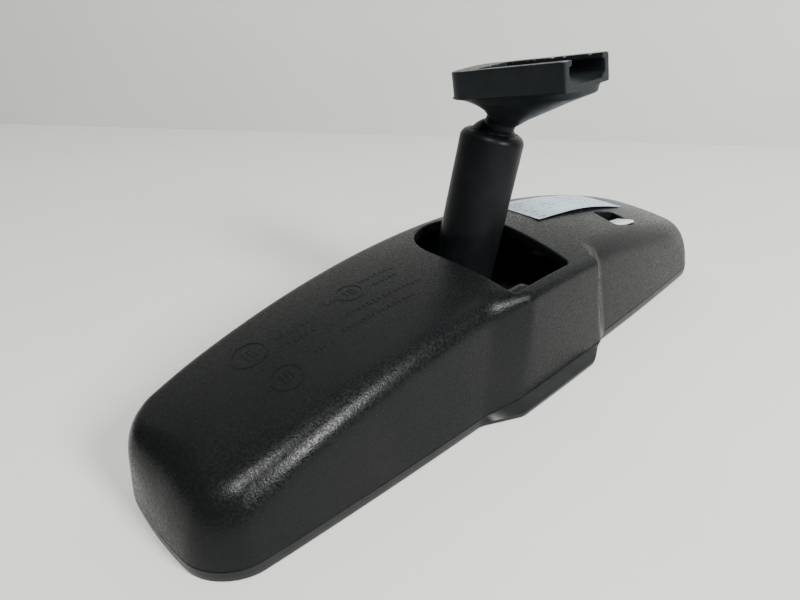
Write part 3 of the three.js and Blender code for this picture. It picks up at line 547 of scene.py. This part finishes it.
def bezel_frame():
    """The frame round the glass: an upper band that flares out below the chin, and a lower one."""
    part_way = between(HOUSING_CHIN, RIM_CHIN, 0.1)
    section = [
        # inset, height, chin
        (0.8, 0.0, RIM_CHIN), (2.6, 0.0, between(RIM_CHIN, NO_CHIN, 0.5)), (4.5, 0.0, NO_CHIN),
        (4.75, 0.12, NO_CHIN), (4.8, 0.4, NO_CHIN), (4.8, 1.0, NO_CHIN), (3.5, 1.0, NO_CHIN),
        (3.5, 6.0, NO_CHIN), (2.7, 6.0, NO_CHIN), (2.7, 1.2, HOUSING_CHIN),
        (2.0, PARTING_Z - 0.05, HOUSING_CHIN), (0.35, PARTING_Z - 0.03, HOUSING_CHIN),
        (0.14, PARTING_Z - 0.1, HOUSING_CHIN), (0.02, PARTING_Z - 0.3, part_way),
        (0.0, 1.95, between(HOUSING_CHIN, RIM_CHIN, 0.9)), (0.0, 1.72, RIM_CHIN),
        (0.1, 1.62, RIM_CHIN), (0.12, 1.5, RIM_CHIN), (0.2, 0.5, RIM_CHIN), (0.5, 0.1, RIM_CHIN),
    ]
    frame_band = swept("bezel_frame", [at_height(head_outline(i, c), z) for i, z, c in section])
    tidy_mesh(frame_band)
    boolean(frame_band, box_mesh("gap", (-17.5, -28.4, 1.0), (17.5, -24.9, 9), 0.05))
    boolean(frame_band, prism("key_hole", button_outline(0.25), -1, PARTING_Z + 1))
    for side in (-1, 1):
        hole = place(turned("eye", [(1.35, -1), (1.35, 3)], 32),
                     Matrix.Translation(Vector((side * PIPE_X, PIPE_Y, 0)) * MM))
        boolean(frame_band, hole)
    return tidy_mesh(frame_band, angle=30)


# ------------------------------------------------------------------ head: glass, sensors, key

PIPE_X, PIPE_Y = 13.0, -26.9
BUTTON_Y = -29.0
BUTTON_HALF = (6.5, 1.5)
SKIRT_HALF_X, SKIRT_Y = 7.6, (-28.1, -26.9)
STEM_HALF_X, STEM_Y = 1.6, (-28.4, -25.6)
STEM_CLEARANCE = 0.03  # keeps the stem off the switch's plunger at full travel
SKIRT_LOW, SKIRT_HIGH = 1.5, 2.2
LENS_TOP = 32.6
LENS_TILT = math.radians(-14)
FRONT_LITE_INSET, REAR_LITE_INSET = 3.9, 5.1


def button_outline(grow):
    hx, hy = BUTTON_HALF
    return rounded_rectangle(-hx - grow, hx + grow, BUTTON_Y - hy - grow, BUTTON_Y + hy + grow,
                             hy + grow - 0.01, 10)


def lite(name, node, inset):
    """One sheet of glass with a ground edge, between the heights of its CAD node."""
    low, high = (corner.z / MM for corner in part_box(node))
    chamfer = 0.25
    section = [(inset + chamfer, low), (inset, low + chamfer), (inset, high - chamfer),
               (inset + chamfer, high)]
    rings = [at_height(head_outline(i, NO_CHIN), z) for i, z in section]
    return tidy_mesh(loft(name, rings), angle=20)


def dimming_key():
    """The key in the chin: a face with three raised dashes, a skirt that holds it in, a stem."""
    low, high = (corner.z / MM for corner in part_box("dimming_button"))
    section = [(-0.35, low), (-0.12, low + 0.1), (0, low + 0.35), (0, low + 1.8)]
    face = loft("key_face", [at_height(button_outline(g), z) for g, z in section])
    skirt = box_mesh("key_skirt", (-SKIRT_HALF_X, SKIRT_Y[0], low + SKIRT_LOW),
                     (SKIRT_HALF_X, SKIRT_Y[1], low + SKIRT_HIGH), 0.15)
    stem = box_mesh("key_stem", (-STEM_HALF_X, STEM_Y[0], low + SKIRT_LOW),
                    (STEM_HALF_X, STEM_Y[1], high - STEM_CLEARANCE))
    marks = [box_mesh("key_mark", (x - 0.12, BUTTON_Y - 0.6, low),
                      (x + 0.12, BUTTON_Y + 0.6, low + 0.3), 0.08) for x in (-1.2, 0.0, 1.2)]
    return tidy_mesh(join("dimming_key", [face, skirt, stem, *marks]))


def light_pipe(name, node):
    """A round light pipe with a domed eye, as wide and tall as its CAD node."""
    low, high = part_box(node)
    centre = (low + high) / 2
    radius = (high.x - low.x) / 2 / MM
    z0, z1 = low.z / MM, high.z / MM
    profile = [(radius * 0.5, z0 + 0.02), (radius * 0.85, z0 + 0.12), (radius, z0 + 0.4),
               (radius, z1 - 0.3), (radius * 0.8, z1)]
    pipe = turned(name, profile, 40)
    return tidy_mesh(place(pipe, Matrix.Translation(Vector((centre.x, centre.y, 0)))))


def rear_lens():
    """The milky cover of the rear light sensor: a tilted plate with rounded edges on a pipe."""
    foot_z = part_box("rear_sensor_lens")[0].z / MM
    hx, hy = SENSOR_HALF
    plate = box_mesh("lens_plate", (-hx + GAP, -hy + GAP, -1.2), (hx - GAP, hy - 4, 0), 0.45, 3)
    place(plate, Matrix.Rotation(LENS_TILT, 4, "X"))
    pipe = box_mesh("lens_pipe", (-2.2, -3, foot_z - LENS_TOP), (2.2, 0.4, -0.8), 0.3)
    lens = join("sensor_window_lens", [plate, pipe])
    turn = Matrix.Translation(Vector((SENSOR_X, SENSOR_Y, LENS_TOP)) * MM) @ Matrix.Rotation(
        SENSOR_TURN, 4, "Z")
    return tidy_mesh(place(lens, turn))


# ------------------------------------------------------------------ head: inside the window


def zinc_plate():
    """The ball mount's die-cast plate with ribs along and across it, and the stud's hole."""
    low, high = (np.array(corner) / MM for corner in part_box("ball_plate"))
    z0, z1 = low[2], high[2]
    plate = prism("plate", rounded_rectangle(low[0], high[0], low[1], high[1], 4), z0, z1 - 0.3)
    ribs = [box_mesh("rib", (x - 0.6, low[1] + 1.5, z1 - 0.6), (x + 0.6, high[1] - 1.5, z1), 0.2)
            for x in (-12.5, 12.5)]
    cross = [box_mesh("cross", (x0, y - 0.6, z1 - 0.6), (x1, y + 0.6, z1), 0.2)
             for x0, x1 in ((low[0] + 1, -6), (6, high[0] - 1)) for y in (5.0, 19.0)]
    mount = cast(join("zinc_plate", [plate, *ribs, *cross]), 0.3, 3)
    hole = turned("hole", [(3.9, z0 - 1), (3.9, z1 + 1)], 40)
    boolean(mount, place(hole, Matrix.Translation(Vector((0, LOWER_BALL[1], 0)) * MM)))
    return tidy_mesh(mount, angle=50)


def connector_housing():
    """The lead's header: an open box with softened edges and ribs along its chin side."""
    low, high = (np.array(corner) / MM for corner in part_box("main_connector"))
    wall = 1.3
    floor = 16.4
    outline = rounded_rectangle(low[0], high[0], low[1], high[1], 1.6)
    outer = prism("header", outline, low[2], high[2])
    inner = (low[0] + wall, high[0] - wall, low[1] + wall, high[1] - wall)
    tidy_mesh(outer)
    boolean(outer, prism("mouth", rounded_rectangle(*inner, 1.0), floor, high[2] + 1))
    modifier = outer.modifiers.new("soften", "BEVEL")
    modifier.width = 0.25 * MM
    modifier.segments = 3
    modifier.limit_method = "ANGLE"
    modifier.angle_limit = math.radians(50)
    apply_modifiers(outer)
    ribs = [box_mesh("rib", (x - 0.5, low[1] + 0.02, 15), (x + 0.5, low[1] + 1.2, high[2] - 2.4))
            for x in (-6, -2, 2, 6)]
    header = join("connector_housing", [outer, *ribs])
    return tidy_mesh(header, angle=35)


# ------------------------------------------------------------------ arm and balls


def arm_matrix():
    """From the arm's own axes to the scene's; its origin is the upper ball's centre."""
    turn = Vector((0, 0, 1)).rotation_difference(ARM_AXIS).to_matrix().to_4x4()
    return Matrix.Translation(UPPER_BALL * MM) @ turn


def tube():
    """The arm's tube with rolled shoulders and a spherical seat in each mouth."""
    mouth = math.degrees(math.acos(PAST_BALL / BORE_RADIUS))
    shoulder = 3.0
    rolled = arc(shoulder, 90, 8, 14, ARM_RADIUS - shoulder, PAST_BALL - shoulder)
    seat = arc(BORE_RADIUS, mouth, 90, 10)
    lip = [(BORE_RADIUS * math.sin(math.radians(mouth)) + 0.12, PAST_BALL - 0.02)]
    upper = rolled + lip + seat
    lower = [(r, -ARM_SPAN - z) for r, z in reversed(upper)]
    middle = [(ARM_RADIUS, -ARM_SPAN * k / 6) for k in range(5, 0, -1)]
    body = swept("body", round_rings(upper + lower + middle, 120))
    return tidy_mesh(place(body, arm_matrix()), angle=40)


def foot_matrix():
    """From the foot's own axes to the scene's; its origin is the upper ball's centre too."""
    turn = Matrix.Rotation(FOOT_YAW, 4, "Z") @ Matrix.Rotation(FOOT_PITCH, 4, "X")
    return Matrix.Translation(UPPER_BALL * MM) @ turn


def upper_stud():
    """The upper ball with its leaning neck, and the shank that the foot is cast round."""
    neck = math.degrees(math.asin(NECK_RADIUS / BALL_RADIUS))
    profile = [(0.01, -BALL_RADIUS)] + arc(BALL_RADIUS, 176, neck, 40)
    profile += [(NECK_RADIUS, NECK_LENGTH - 0.6), (NECK_RADIUS - 0.15, NECK_LENGTH - GAP),
                (SHANK_RADIUS, NECK_LENGTH - GAP), (SHANK_RADIUS, SHANK_TIP), (0.01, SHANK_TIP)]
    lean = Matrix.Rotation(NECK_LEAN, 4, "X")
    return tidy_mesh(place(turned("stud", profile), foot_matrix() @ lean), angle=40)


# ------------------------------------------------------------------ windscreen foot


def foot_plan():
    """The shoe seen along its channel's depth, its two closed corners rounded."""
    half, near = FOOT_HALF_WIDTH, FOOT_NEAR_END_Y
    return np.vstack((
        [(-half, FOOT_OPEN_Y), (half, FOOT_OPEN_Y)],
        quadratic((half, FOOT_CLOSED_Y - 5), (half, FOOT_CLOSED_Y), (half - 5, FOOT_CLOSED_Y)),
        quadratic((-half + 7, near + 3.4), (-half, near + 1.6), (-half, near - 4)),
    ))


def funnel_ring(half_x, open_end, closed_end, squareness):
    """An oval from its (y, z) on the open side to its (y, z) on the closed side."""
    angles = np.linspace(0, 2 * math.pi, 72, endpoint=False)

    def reach(v):
        return np.sign(v) * np.abs(v) ** squareness

    share = (1 + reach(np.sin(angles))) / 2
    return np.column_stack((half_x * reach(np.cos(angles)),
                            open_end[0] + (closed_end[0] - open_end[0]) * share,
                            open_end[1] + (closed_end[1] - open_end[1]) * share))


def foot_shoe():
    """The channel shoe: lipped walls on a funnel-shaped underside, cast in one."""
    z0, z1 = FOOT_WALL_Z
    open_y, inner = FOOT_OPEN_Y, FOOT_HALF_WIDTH - FOOT_WALL_THICKNESS
    down, across = math.cos(NECK_LEAN), math.sin(NECK_LEAN)
    collar = NECK_RADIUS + 0.6
    neck_ends = [(-NECK_LENGTH * across + side * collar * down,
                  NECK_LENGTH * down + side * collar * across) for side in (-1, 1)]
    funnel = loft("funnel", [
        funnel_ring(collar, *neck_ends, 1.0),
        funnel_ring(7.0, (-14.0, 7.0), (0.6, 13.0), 0.92),
        funnel_ring(9.4, (-20.0, 9.0), (3.0, 14.6), 0.8),
        funnel_ring(11.5, (-28.0, 11.7), (5.4, 15.6), 0.65),
        funnel_ring(12.4, (open_y, 13.8), (7.2, z0), 0.5),
        funnel_ring(13.5, (open_y, z0 + 0.6), (7.8, z0 + 0.6), 0.4),
    ])
    body = boolean(tidy_mesh(prism("block", foot_plan(), z0, z1)), tidy_mesh(funnel), "UNION")
    channel_end = FOOT_NEAR_END_Y - 5.4
    lip = 1.6  # both how far the lips reach in and how thick they are
    for name, half, top in (("slot", inner, z1 - lip), ("throat", inner - lip, z1 + 1)):
        boolean(body, box_mesh(name, (-half, open_y - 1, CHANNEL_FLOOR_Z),
                               (half, channel_end, top), 0.01, 1))
    ledge = box_mesh("ledge", (-inner + 1.5, -12, 0), (inner - 1.5, 0, 4), 0.01, 1)
    slope = Matrix.Rotation(math.atan2(1.2, 6.1), 4, "X")
    boolean(body, place(ledge, Matrix.Translation(Vector((0, -29, CHANNEL_FLOOR_Z)) * MM) @ slope))
    cast(body, 0.28, 3)
    return tidy_mesh(place(body, foot_matrix()), angle=60)


# ------------------------------------------------------------------ paper label


LABEL_X, LABEL_Y = (33.0, 94.0), (1.8, 24.0)
LABEL_TURN = math.radians(-1.5)
LABEL_LIFT = 1.1  # how far the paper has come up along its chin-side edge
LABEL_RIPPLE = 0.12
PAPER = 0.12  # the paper's thickness, and the glue's


def sticker():
    """A paper sticker on the crowned back, lifted along its chin-side edge."""
    columns, rows = 96, 36
    (x0, x1), (y0, y1) = LABEL_X, LABEL_Y
    lower, upper = [], []
    for j in range(rows + 1):
        for i in range(columns + 1):
            u, v = i / columns, j / rows
            x, y = x0 + (x1 - x0) * u, y0 + (y1 - y0) * v
            dx, dy = x - x0, y - y0
            px = x0 + dx * math.cos(LABEL_TURN) - dy * math.sin(LABEL_TURN)
            py = y0 + dx * math.sin(LABEL_TURN) + dy * math.cos(LABEL_TURN)
            lift = LABEL_LIFT * max(0.0, 1 - v * 4.5) ** 2 * (0.35 + 0.65 * math.sin(math.pi * u) ** 2)
            ripple = LABEL_RIPPLE * noise.noise(Vector((x * 0.13, y * 0.16, 3.0)))
            z = back_height(px, py) + PAPER + lift + max(0.0, ripple)
            lower.append((px, py, z))
            upper.append((px, py, z + PAPER))
    width = columns + 1
    faces = []
    for j in range(rows):
        for i in range(columns):
            a = j * width + i
            faces.append((a, a + 1, a + width + 1, a + width))
    shift = len(lower)
    top = [tuple(k + shift for k in f) for f in faces]
    bottom = [tuple(reversed(f)) for f in faces]
    border = (list(range(columns)) + [columns + j * width for j in range(rows)]
              + [rows * width + i for i in range(columns, 0, -1)]
              + [j * width for j in range(rows, 0, -1)])
    sides = [(a, b, b + shift, a + shift) for a, b in zip(border, border[1:] + border[:1])]
    return tidy_mesh(new_object("sticker", lower + upper, bottom + top + sides), 1e-7, 60)


# ------------------------------------------------------------------ materials


class Nodes:
    """A material under construction: short names for the nodes that the finishes share."""

    def __init__(self, name, **shader):
        self.material = bpy.data.materials.new(name)
        self.material.use_nodes = True
        self.tree = self.material.node_tree
        self.shader = self.tree.nodes["Principled BSDF"]
        for socket, value in shader.items():
            self.shader.inputs[socket.replace("_", " ")].default_value = value
        self.coords = self.tree.nodes.new("ShaderNodeTexCoord").outputs["Object"]

    def add(self, kind, inputs=None, **settings):
        node = self.tree.nodes.new(kind)
        for key, value in settings.items():
            setattr(node, key, value)
        for key, value in (inputs or {}).items():
            if isinstance(value, bpy.types.NodeSocket):
                self.tree.links.new(value, node.inputs[key])
            else:
                node.inputs[key].default_value = value
        return node

    def noise(self, size_mm, detail=3.0, roughness=0.55, vector=None):
        return self.add("ShaderNodeTexNoise", {
            "Vector": vector or self.coords, "Scale": 1000 / size_mm, "Detail": detail,
            "Roughness": roughness}).outputs["Fac"]

    def pebbles(self, size_mm):
        return self.add("ShaderNodeTexVoronoi", {
            "Vector": self.coords, "Scale": 1000 / size_mm}, feature="SMOOTH_F1").outputs["Distance"]

    def ramp(self, value, low, high, to_low=0.0, to_high=1.0):
        return self.add("ShaderNodeMapRange", {
            "Value": value, "From Min": low, "From Max": high, "To Min": to_low,
            "To Max": to_high}).outputs["Result"]

    def math(self, operation, a, b):
        return self.add("ShaderNodeMath", {0: a, 1: b}, operation=operation).outputs[0]

    def mix(self, share, a, b):
        """A colour between two; inputs 6 and 7 of the mix node are its colours."""
        node = self.add("ShaderNodeMix", {}, data_type="RGBA")
        for index, value in ((0, share), (6, a), (7, b)):
            if isinstance(value, bpy.types.NodeSocket):
                self.tree.links.new(value, node.inputs[index])
            elif index == 0:
                node.inputs[index].default_value = value
            else:
                node.inputs[index].default_value = (*value, 1)
        return node.outputs[2]

    def set(self, socket, value):
        self.tree.links.new(value, self.shader.inputs[socket])

    def bump(self, height, strength, distance_mm):
        node = self.add("ShaderNodeBump", {
            "Height": height, "Strength": strength, "Distance": distance_mm * MM})
        self.tree.links.new(node.outputs[0], self.shader.inputs["Normal"])


def plain(name, dark, light, rough=(0.4, 0.55), mottle_mm=6.0, grain_mm=0.4, grain=0.3,
          grain_depth=0.03, **shader):
    """A moulded, cast or coated finish: mottled colour, uneven gloss and a fine grain."""
    m = Nodes(name, **shader)
    m.set("Base Color", m.mix(m.ramp(m.noise(mottle_mm, 5), 0.35, 0.65), dark, light))
    m.set("Roughness", m.ramp(m.noise(mottle_mm * 0.4, 4), 0.3, 0.7, *rough))
    m.bump(m.noise(grain_mm, 2), grain, grain_depth)
    return m.material


def housing_plastic():
    """Charcoal moulded plastic: a pebbled grain whose tops catch the light as fine sparkle."""
    m = Nodes("housing_plastic", IOR=1.28, Specular_IOR_Level=0.36)
    pebble = m.pebbles(0.55)
    fine = m.noise(0.32, 2)
    grain = m.math("ADD", m.math("MULTIPLY", pebble, -0.9), m.math("MULTIPLY", fine, 0.8))
    dust = m.ramp(m.noise(1.1, 6, 0.7), 0.68, 0.76)
    lighter_patches = m.ramp(m.noise(38, 4), 0.35, 0.7)
    tone = m.mix(lighter_patches, (0.004, 0.0048, 0.0052), (0.0065, 0.0071, 0.0072))
    m.set("Base Color", m.mix(m.math("MULTIPLY", dust, 0.3), tone, (0.13, 0.13, 0.12)))
    gloss = m.ramp(m.noise(0.8, 5, 0.75), 0.42, 0.6, 0.14, 0.42)
    m.set("Roughness", m.math("ADD", gloss, m.math("MULTIPLY", lighter_patches, 0.05)))
    m.bump(grain, 0.6, 0.07)
    return m.material


def foot_coating():
    """Satin black coating on the cast foot, with a painted highlight in pale patches along the tops of
    its lips.
    """
    m = Nodes("satin_black_foot", IOR=1.3, Specular_IOR_Level=0.35)
    coat = m.mix(m.ramp(m.noise(5, 5), 0.35, 0.65), (0.006, 0.008, 0.0095), (0.009, 0.0115, 0.013))
    y, z = (m.add("ShaderNodeSeparateXYZ", {"Vector": m.coords}).outputs[i] for i in (1, 2))
    # the same height all over the tilted tops of the lips
    level = m.math("ADD", z, m.math("MULTIPLY", y, math.tan(-FOOT_PITCH)))
    lips = m.ramp(level, 0.0984, 0.0987)
    # painted highlight: the lip tops are mixed towards pale grey in patches
    lighter_patches = m.math("MULTIPLY", lips, m.ramp(m.noise(2.4, 5, 0.7), 0.55, 0.62))
    m.set("Base Color", m.mix(m.math("MULTIPLY", lighter_patches, 0.7), coat, (0.42, 0.43, 0.43)))
    m.set("Roughness", m.ramp(m.noise(2, 4), 0.3, 0.7, 0.34, 0.48))
    m.bump(m.noise(0.35, 2), 0.25, 0.02)
    return m.material


def label_paper():
    """Pale blue-white paper with soft fibres and faint print that can't be read."""
    m = Nodes("label_paper", Specular_IOR_Level=0.25)
    fibre = m.noise(1.2, 6, 0.7)
    paper = m.mix(m.ramp(m.noise(14, 4), 0.35, 0.7), (0.42, 0.52, 0.6), (0.5, 0.58, 0.63))
    x, y = (m.add("ShaderNodeSeparateXYZ", {"Vector": m.coords}).outputs[i] for i in range(2))
    rows = m.math("PINGPONG", m.math("ADD", y, 0.0005), 0.0013)
    dashes = m.add("ShaderNodeCombineXYZ", {
        "X": x, "Y": m.math("SNAP", y, 0.0026)}).outputs[0]
    words = m.ramp(m.noise(1.6, 1, vector=dashes), 0.48, 0.54)
    patch = m.ramp(m.noise(17, 1), 0.5, 0.54)
    ink = m.math("MULTIPLY", m.math("MULTIPLY", words, patch), m.ramp(rows, 0.0007, 0.0009))
    stock = m.mix(m.ramp(fibre, 0.3, 0.8, 0.0, 0.25), paper, (0.42, 0.47, 0.5))
    m.set("Base Color", m.mix(m.math("MULTIPLY", ink, 0.8), stock, (0.12, 0.16, 0.24)))
    m.set("Roughness", m.ramp(fibre, 0.3, 0.7, 0.7, 0.9))
    m.bump(fibre, 0.25, 0.04)
    return m.material


def mirror_glass():
    """A bright coating seen through clean glass, with faint smears."""
    m = Nodes("mirror_glass", Metallic=1.0, Specular_IOR_Level=0.6)
    tone = m.ramp(m.noise(60, 2), 0.3, 0.7)
    m.set("Base Color", m.mix(tone, (0.62, 0.68, 0.7), (0.66, 0.71, 0.73)))
    m.set("Roughness", m.ramp(m.noise(25, 5, 0.6), 0.45, 0.75, 0.015, 0.07))
    return m.material


def painted(name, patch_mm, dark, light):
    """A matt surface with wide soft patches, for what stands round the object."""
    m = Nodes(name, Specular_IOR_Level=0.2)
    m.set("Base Color", m.mix(m.ramp(m.noise(patch_mm, 3), 0.3, 0.7), dark, light))
    m.set("Roughness", m.ramp(m.noise(40, 3), 0.3, 0.7, 0.6, 0.75))
    return m.material


def materials():
    """Every finish, by its slot's name."""
    return {
        "housing_plastic": housing_plastic(),
        "bezel_plastic": plain("bezel_plastic", (0.006, 0.007, 0.0075), (0.010, 0.011, 0.0115),
                               (0.3, 0.42), 5, 0.35, 0.25, 0.02, IOR=1.3),
        "satin_black": plain("satin_black", (0.003, 0.0037, 0.0045), (0.005, 0.006, 0.007),
                             (0.3, 0.42), 7, 0.3, 0.2, 0.015, IOR=1.25, Specular_IOR_Level=0.3),
        "satin_black_stud": plain("satin_black_stud", (0.003, 0.004, 0.005), (0.006, 0.0066, 0.0075),
                                  (0.34, 0.46), 4, 0.3, 0.2, 0.02, IOR=1.25,
                                  Specular_IOR_Level=0.3),
        "satin_black_foot": foot_coating(),
        "label_paper": label_paper(),
        "mirror_glass": mirror_glass(),
        "dimming_gel": plain("dimming_gel", (0.2, 0.3, 0.3), (0.25, 0.35, 0.36), (0.1, 0.16)),
        "cell_sealant": plain("cell_sealant", (0.03, 0.03, 0.03), (0.05, 0.05, 0.05), (0.5, 0.7)),
        "spring_steel": plain("spring_steel", (0.5, 0.5, 0.5), (0.58, 0.58, 0.57), (0.25, 0.4),
                              3, 0.2, 0.15, 0.01, Metallic=1.0),
        "foam": plain("foam", (0.02, 0.02, 0.021), (0.045, 0.045, 0.047), (0.85, 0.95), 1.2, 0.5,
                      0.8, 0.2),
        "carrier_plastic": plain("carrier_plastic", (0.03, 0.03, 0.031), (0.045, 0.045, 0.046)),
        "board_laminate": plain("board_laminate", (0.012, 0.06, 0.03), (0.02, 0.1, 0.045),
                                (0.3, 0.4), 2.5, 0.3, 0.2, 0.02),
        "connector_nylon": plain("connector_nylon", (0.03, 0.03, 0.031), (0.05, 0.05, 0.05),
                                 (0.3, 0.42), 3),
        "contact_gold": plain("contact_gold", (0.75, 0.52, 0.2), (0.85, 0.62, 0.3), (0.2, 0.3),
                              1, 0.2, 0.1, 0.01, Metallic=1.0),
        "bright_strip": plain("bright_strip", (0.6, 0.6, 0.57), (0.75, 0.75, 0.72), (0.2, 0.35),
                              2, 0.2, 0.15, 0.01, Metallic=1.0),
        "chip_plastic": plain("chip_plastic", (0.012, 0.012, 0.013), (0.02, 0.02, 0.021)),
        "can_aluminium": plain("can_aluminium", (0.6, 0.6, 0.61), (0.7, 0.7, 0.71), (0.25, 0.4),
                               2, 0.2, 0.15, 0.01, Metallic=1.0),
        "zinc_casting": plain("zinc_casting", (0.16, 0.13, 0.1), (0.3, 0.26, 0.21), (0.45, 0.65),
                              1.6, 0.5, 0.5, 0.06, Metallic=0.75),
        "sensor_lens": plain("sensor_lens", (0.5, 0.54, 0.53), (0.6, 0.64, 0.63), (0.25, 0.4),
                             2, 0.5, 0.1, 0.01),
        "led_resin": plain("led_resin", (0.12, 0.3, 0.1), (0.16, 0.38, 0.14), (0.2, 0.3), 1),
        "button_plastic": plain("button_plastic", (0.012, 0.012, 0.013), (0.02, 0.02, 0.021),
                                (0.35, 0.45), 3),
        "acetal": plain("acetal", (0.6, 0.58, 0.52), (0.7, 0.68, 0.62), (0.4, 0.5), 3),
        "screw_steel": plain("screw_steel", (0.42, 0.42, 0.41), (0.52, 0.52, 0.5), (0.3, 0.45),
                             1, 0.2, 0.2, 0.01, Metallic=1.0),
    }


# ------------------------------------------------------------------ putting it together

MATERIALS = materials()


def show(obj, body, slot, *nodes):
    """Gives a piece its finish and body, and hides the CAD nodes that it stands for."""
    obj.data.materials.clear()
    obj.data.materials.append(MATERIALS[slot])
    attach(obj, body)
    if nodes:
        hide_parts(*nodes)


def finish_cad_nodes():
    """Gives every CAD node its slot's finish; those that a piece replaces are hidden later."""
    slots = {row["node"]: row["material_slot"] for row in frame["record"]["subparts"]}
    for node, obj in frame["nodes"].items():
        obj.data.materials.clear()
        obj.data.materials.append(MATERIALS[slots[node]])


def build():
    finish_cad_nodes()
    show(rear_housing(), "head", "housing_plastic", "rear_housing")
    show(moulded_marks(), "head", "housing_plastic")
    show(bezel_frame(), "head", "bezel_plastic", "bezel")
    show(lite("front_lite", "front_glass", FRONT_LITE_INSET), "head", "mirror_glass", "front_glass")
    show(lite("rear_lite", "rear_glass", REAR_LITE_INSET), "head", "mirror_glass", "rear_glass")
    show(dimming_key(), "button", "button_plastic", "dimming_button")
    show(light_pipe("glare_eye", "glare_sensor_lens"), "head", "sensor_lens", "glare_sensor_lens")
    show(light_pipe("status_eye", "status_led_lens"), "head", "sensor_lens", "status_led_lens")
    show(rear_lens(), "head", "sensor_lens", "rear_sensor_lens")
    show(zinc_plate(), "head", "zinc_casting", "ball_plate")
    show(connector_housing(), "head", "connector_nylon", "main_connector")
    show(sticker(), "head", "label_paper", "paper_label")
    show(tube(), "arm", "satin_black", "arm_tube")
    show(upper_stud(), "foot", "satin_black_stud", "upper_ball_stud")
    show(foot_shoe(), "foot", "satin_black_foot", "windscreen_foot")


# ------------------------------------------------------------------ floor, light and camera


WALL_POINT = Vector((0.221, 0.21, -0.00003))  # on the line where the back wall meets the table
WALL_ALONG = Vector((0.6127, -0.7903, 0))
STAGE_HALF_WIDTH, STAGE_DEPTH, WALL_HEIGHT = 2.2, 3.0, 1.4


def stage():
    """A pale table that meets a plain back wall."""
    towards = WALL_ALONG.cross(Vector((0, 0, 1)))  # from the wall to the viewer's side
    half, near = WALL_ALONG * STAGE_HALF_WIDTH, towards * STAGE_DEPTH
    left, right = WALL_POINT - half, WALL_POINT + half
    up = Vector((0, 0, WALL_HEIGHT))
    points = [left + near, right + near, right, left, right + up, left + up]
    floor = bpy.data.meshes.new("floor")
    floor.from_pydata(points, [], [(0, 1, 2, 3), (3, 2, 4, 5)])
    floor.materials.append(painted("pale_floor", 180, (0.63, 0.635, 0.61), (0.66, 0.665, 0.64)))
    floor.materials.append(painted("pale_wall", 240, (0.52, 0.53, 0.505), (0.56, 0.57, 0.545)))
    floor.polygons[1].material_index = 1
    add_object("floor", floor)


def lamp(name, place_at, target, size, watts, color):
    light = bpy.data.lights.new(name, "AREA")
    light.shape = "RECTANGLE"
    light.size, light.size_y = size
    light.energy = watts
    light.color = color
    obj = add_object(name, light)
    obj.location = place_at
    obj.rotation_euler = (Vector(target) - Vector(place_at)).to_track_quat("-Z", "Y").to_euler()


CAMERA = {
    "place": (-0.16176, -0.1221, 0.1295),
    "azimuth": math.radians(-44.64),
    "pitch": math.radians(28.465),
    "roll": math.radians(-0.24),
    "lens": 29.19,
}


def camera():
    data = bpy.data.cameras.new("camera")
    data.lens = CAMERA["lens"]
    data.sensor_width = 36
    data.clip_start = 0.01
    obj = add_object("camera", data)
    obj.matrix_world = (Matrix.Translation(CAMERA["place"])
                        @ Matrix.Rotation(CAMERA["azimuth"], 4, "Z")
                        @ Matrix.Rotation(math.pi / 2 - CAMERA["pitch"], 4, "X")
                        @ Matrix.Rotation(CAMERA["roll"], 4, "Z"))
    bpy.context.scene.camera = obj


def lights():
    """A window on the chin's side, a ceiling lamp and a little light from all round."""
    lamp("window", (0.02, -0.74, 0.52), (-0.08, 0, 0.02), (0.22, 0.3), 13, (1, 1, 0.985))
    lamp("ceiling", (-0.5, -0.5, 1.3), (0, 0, 0), (0.5, 0.5), 25, (1, 0.995, 0.98))
    world = bpy.data.worlds.new("room")
    world.use_nodes = True
    background = world.node_tree.nodes["Background"].inputs
    background["Color"].default_value = (0.8, 0.82, 0.82, 1)
    background["Strength"].default_value = 0.12
    bpy.context.scene.world = world


camera()
stage()
lights()
build()
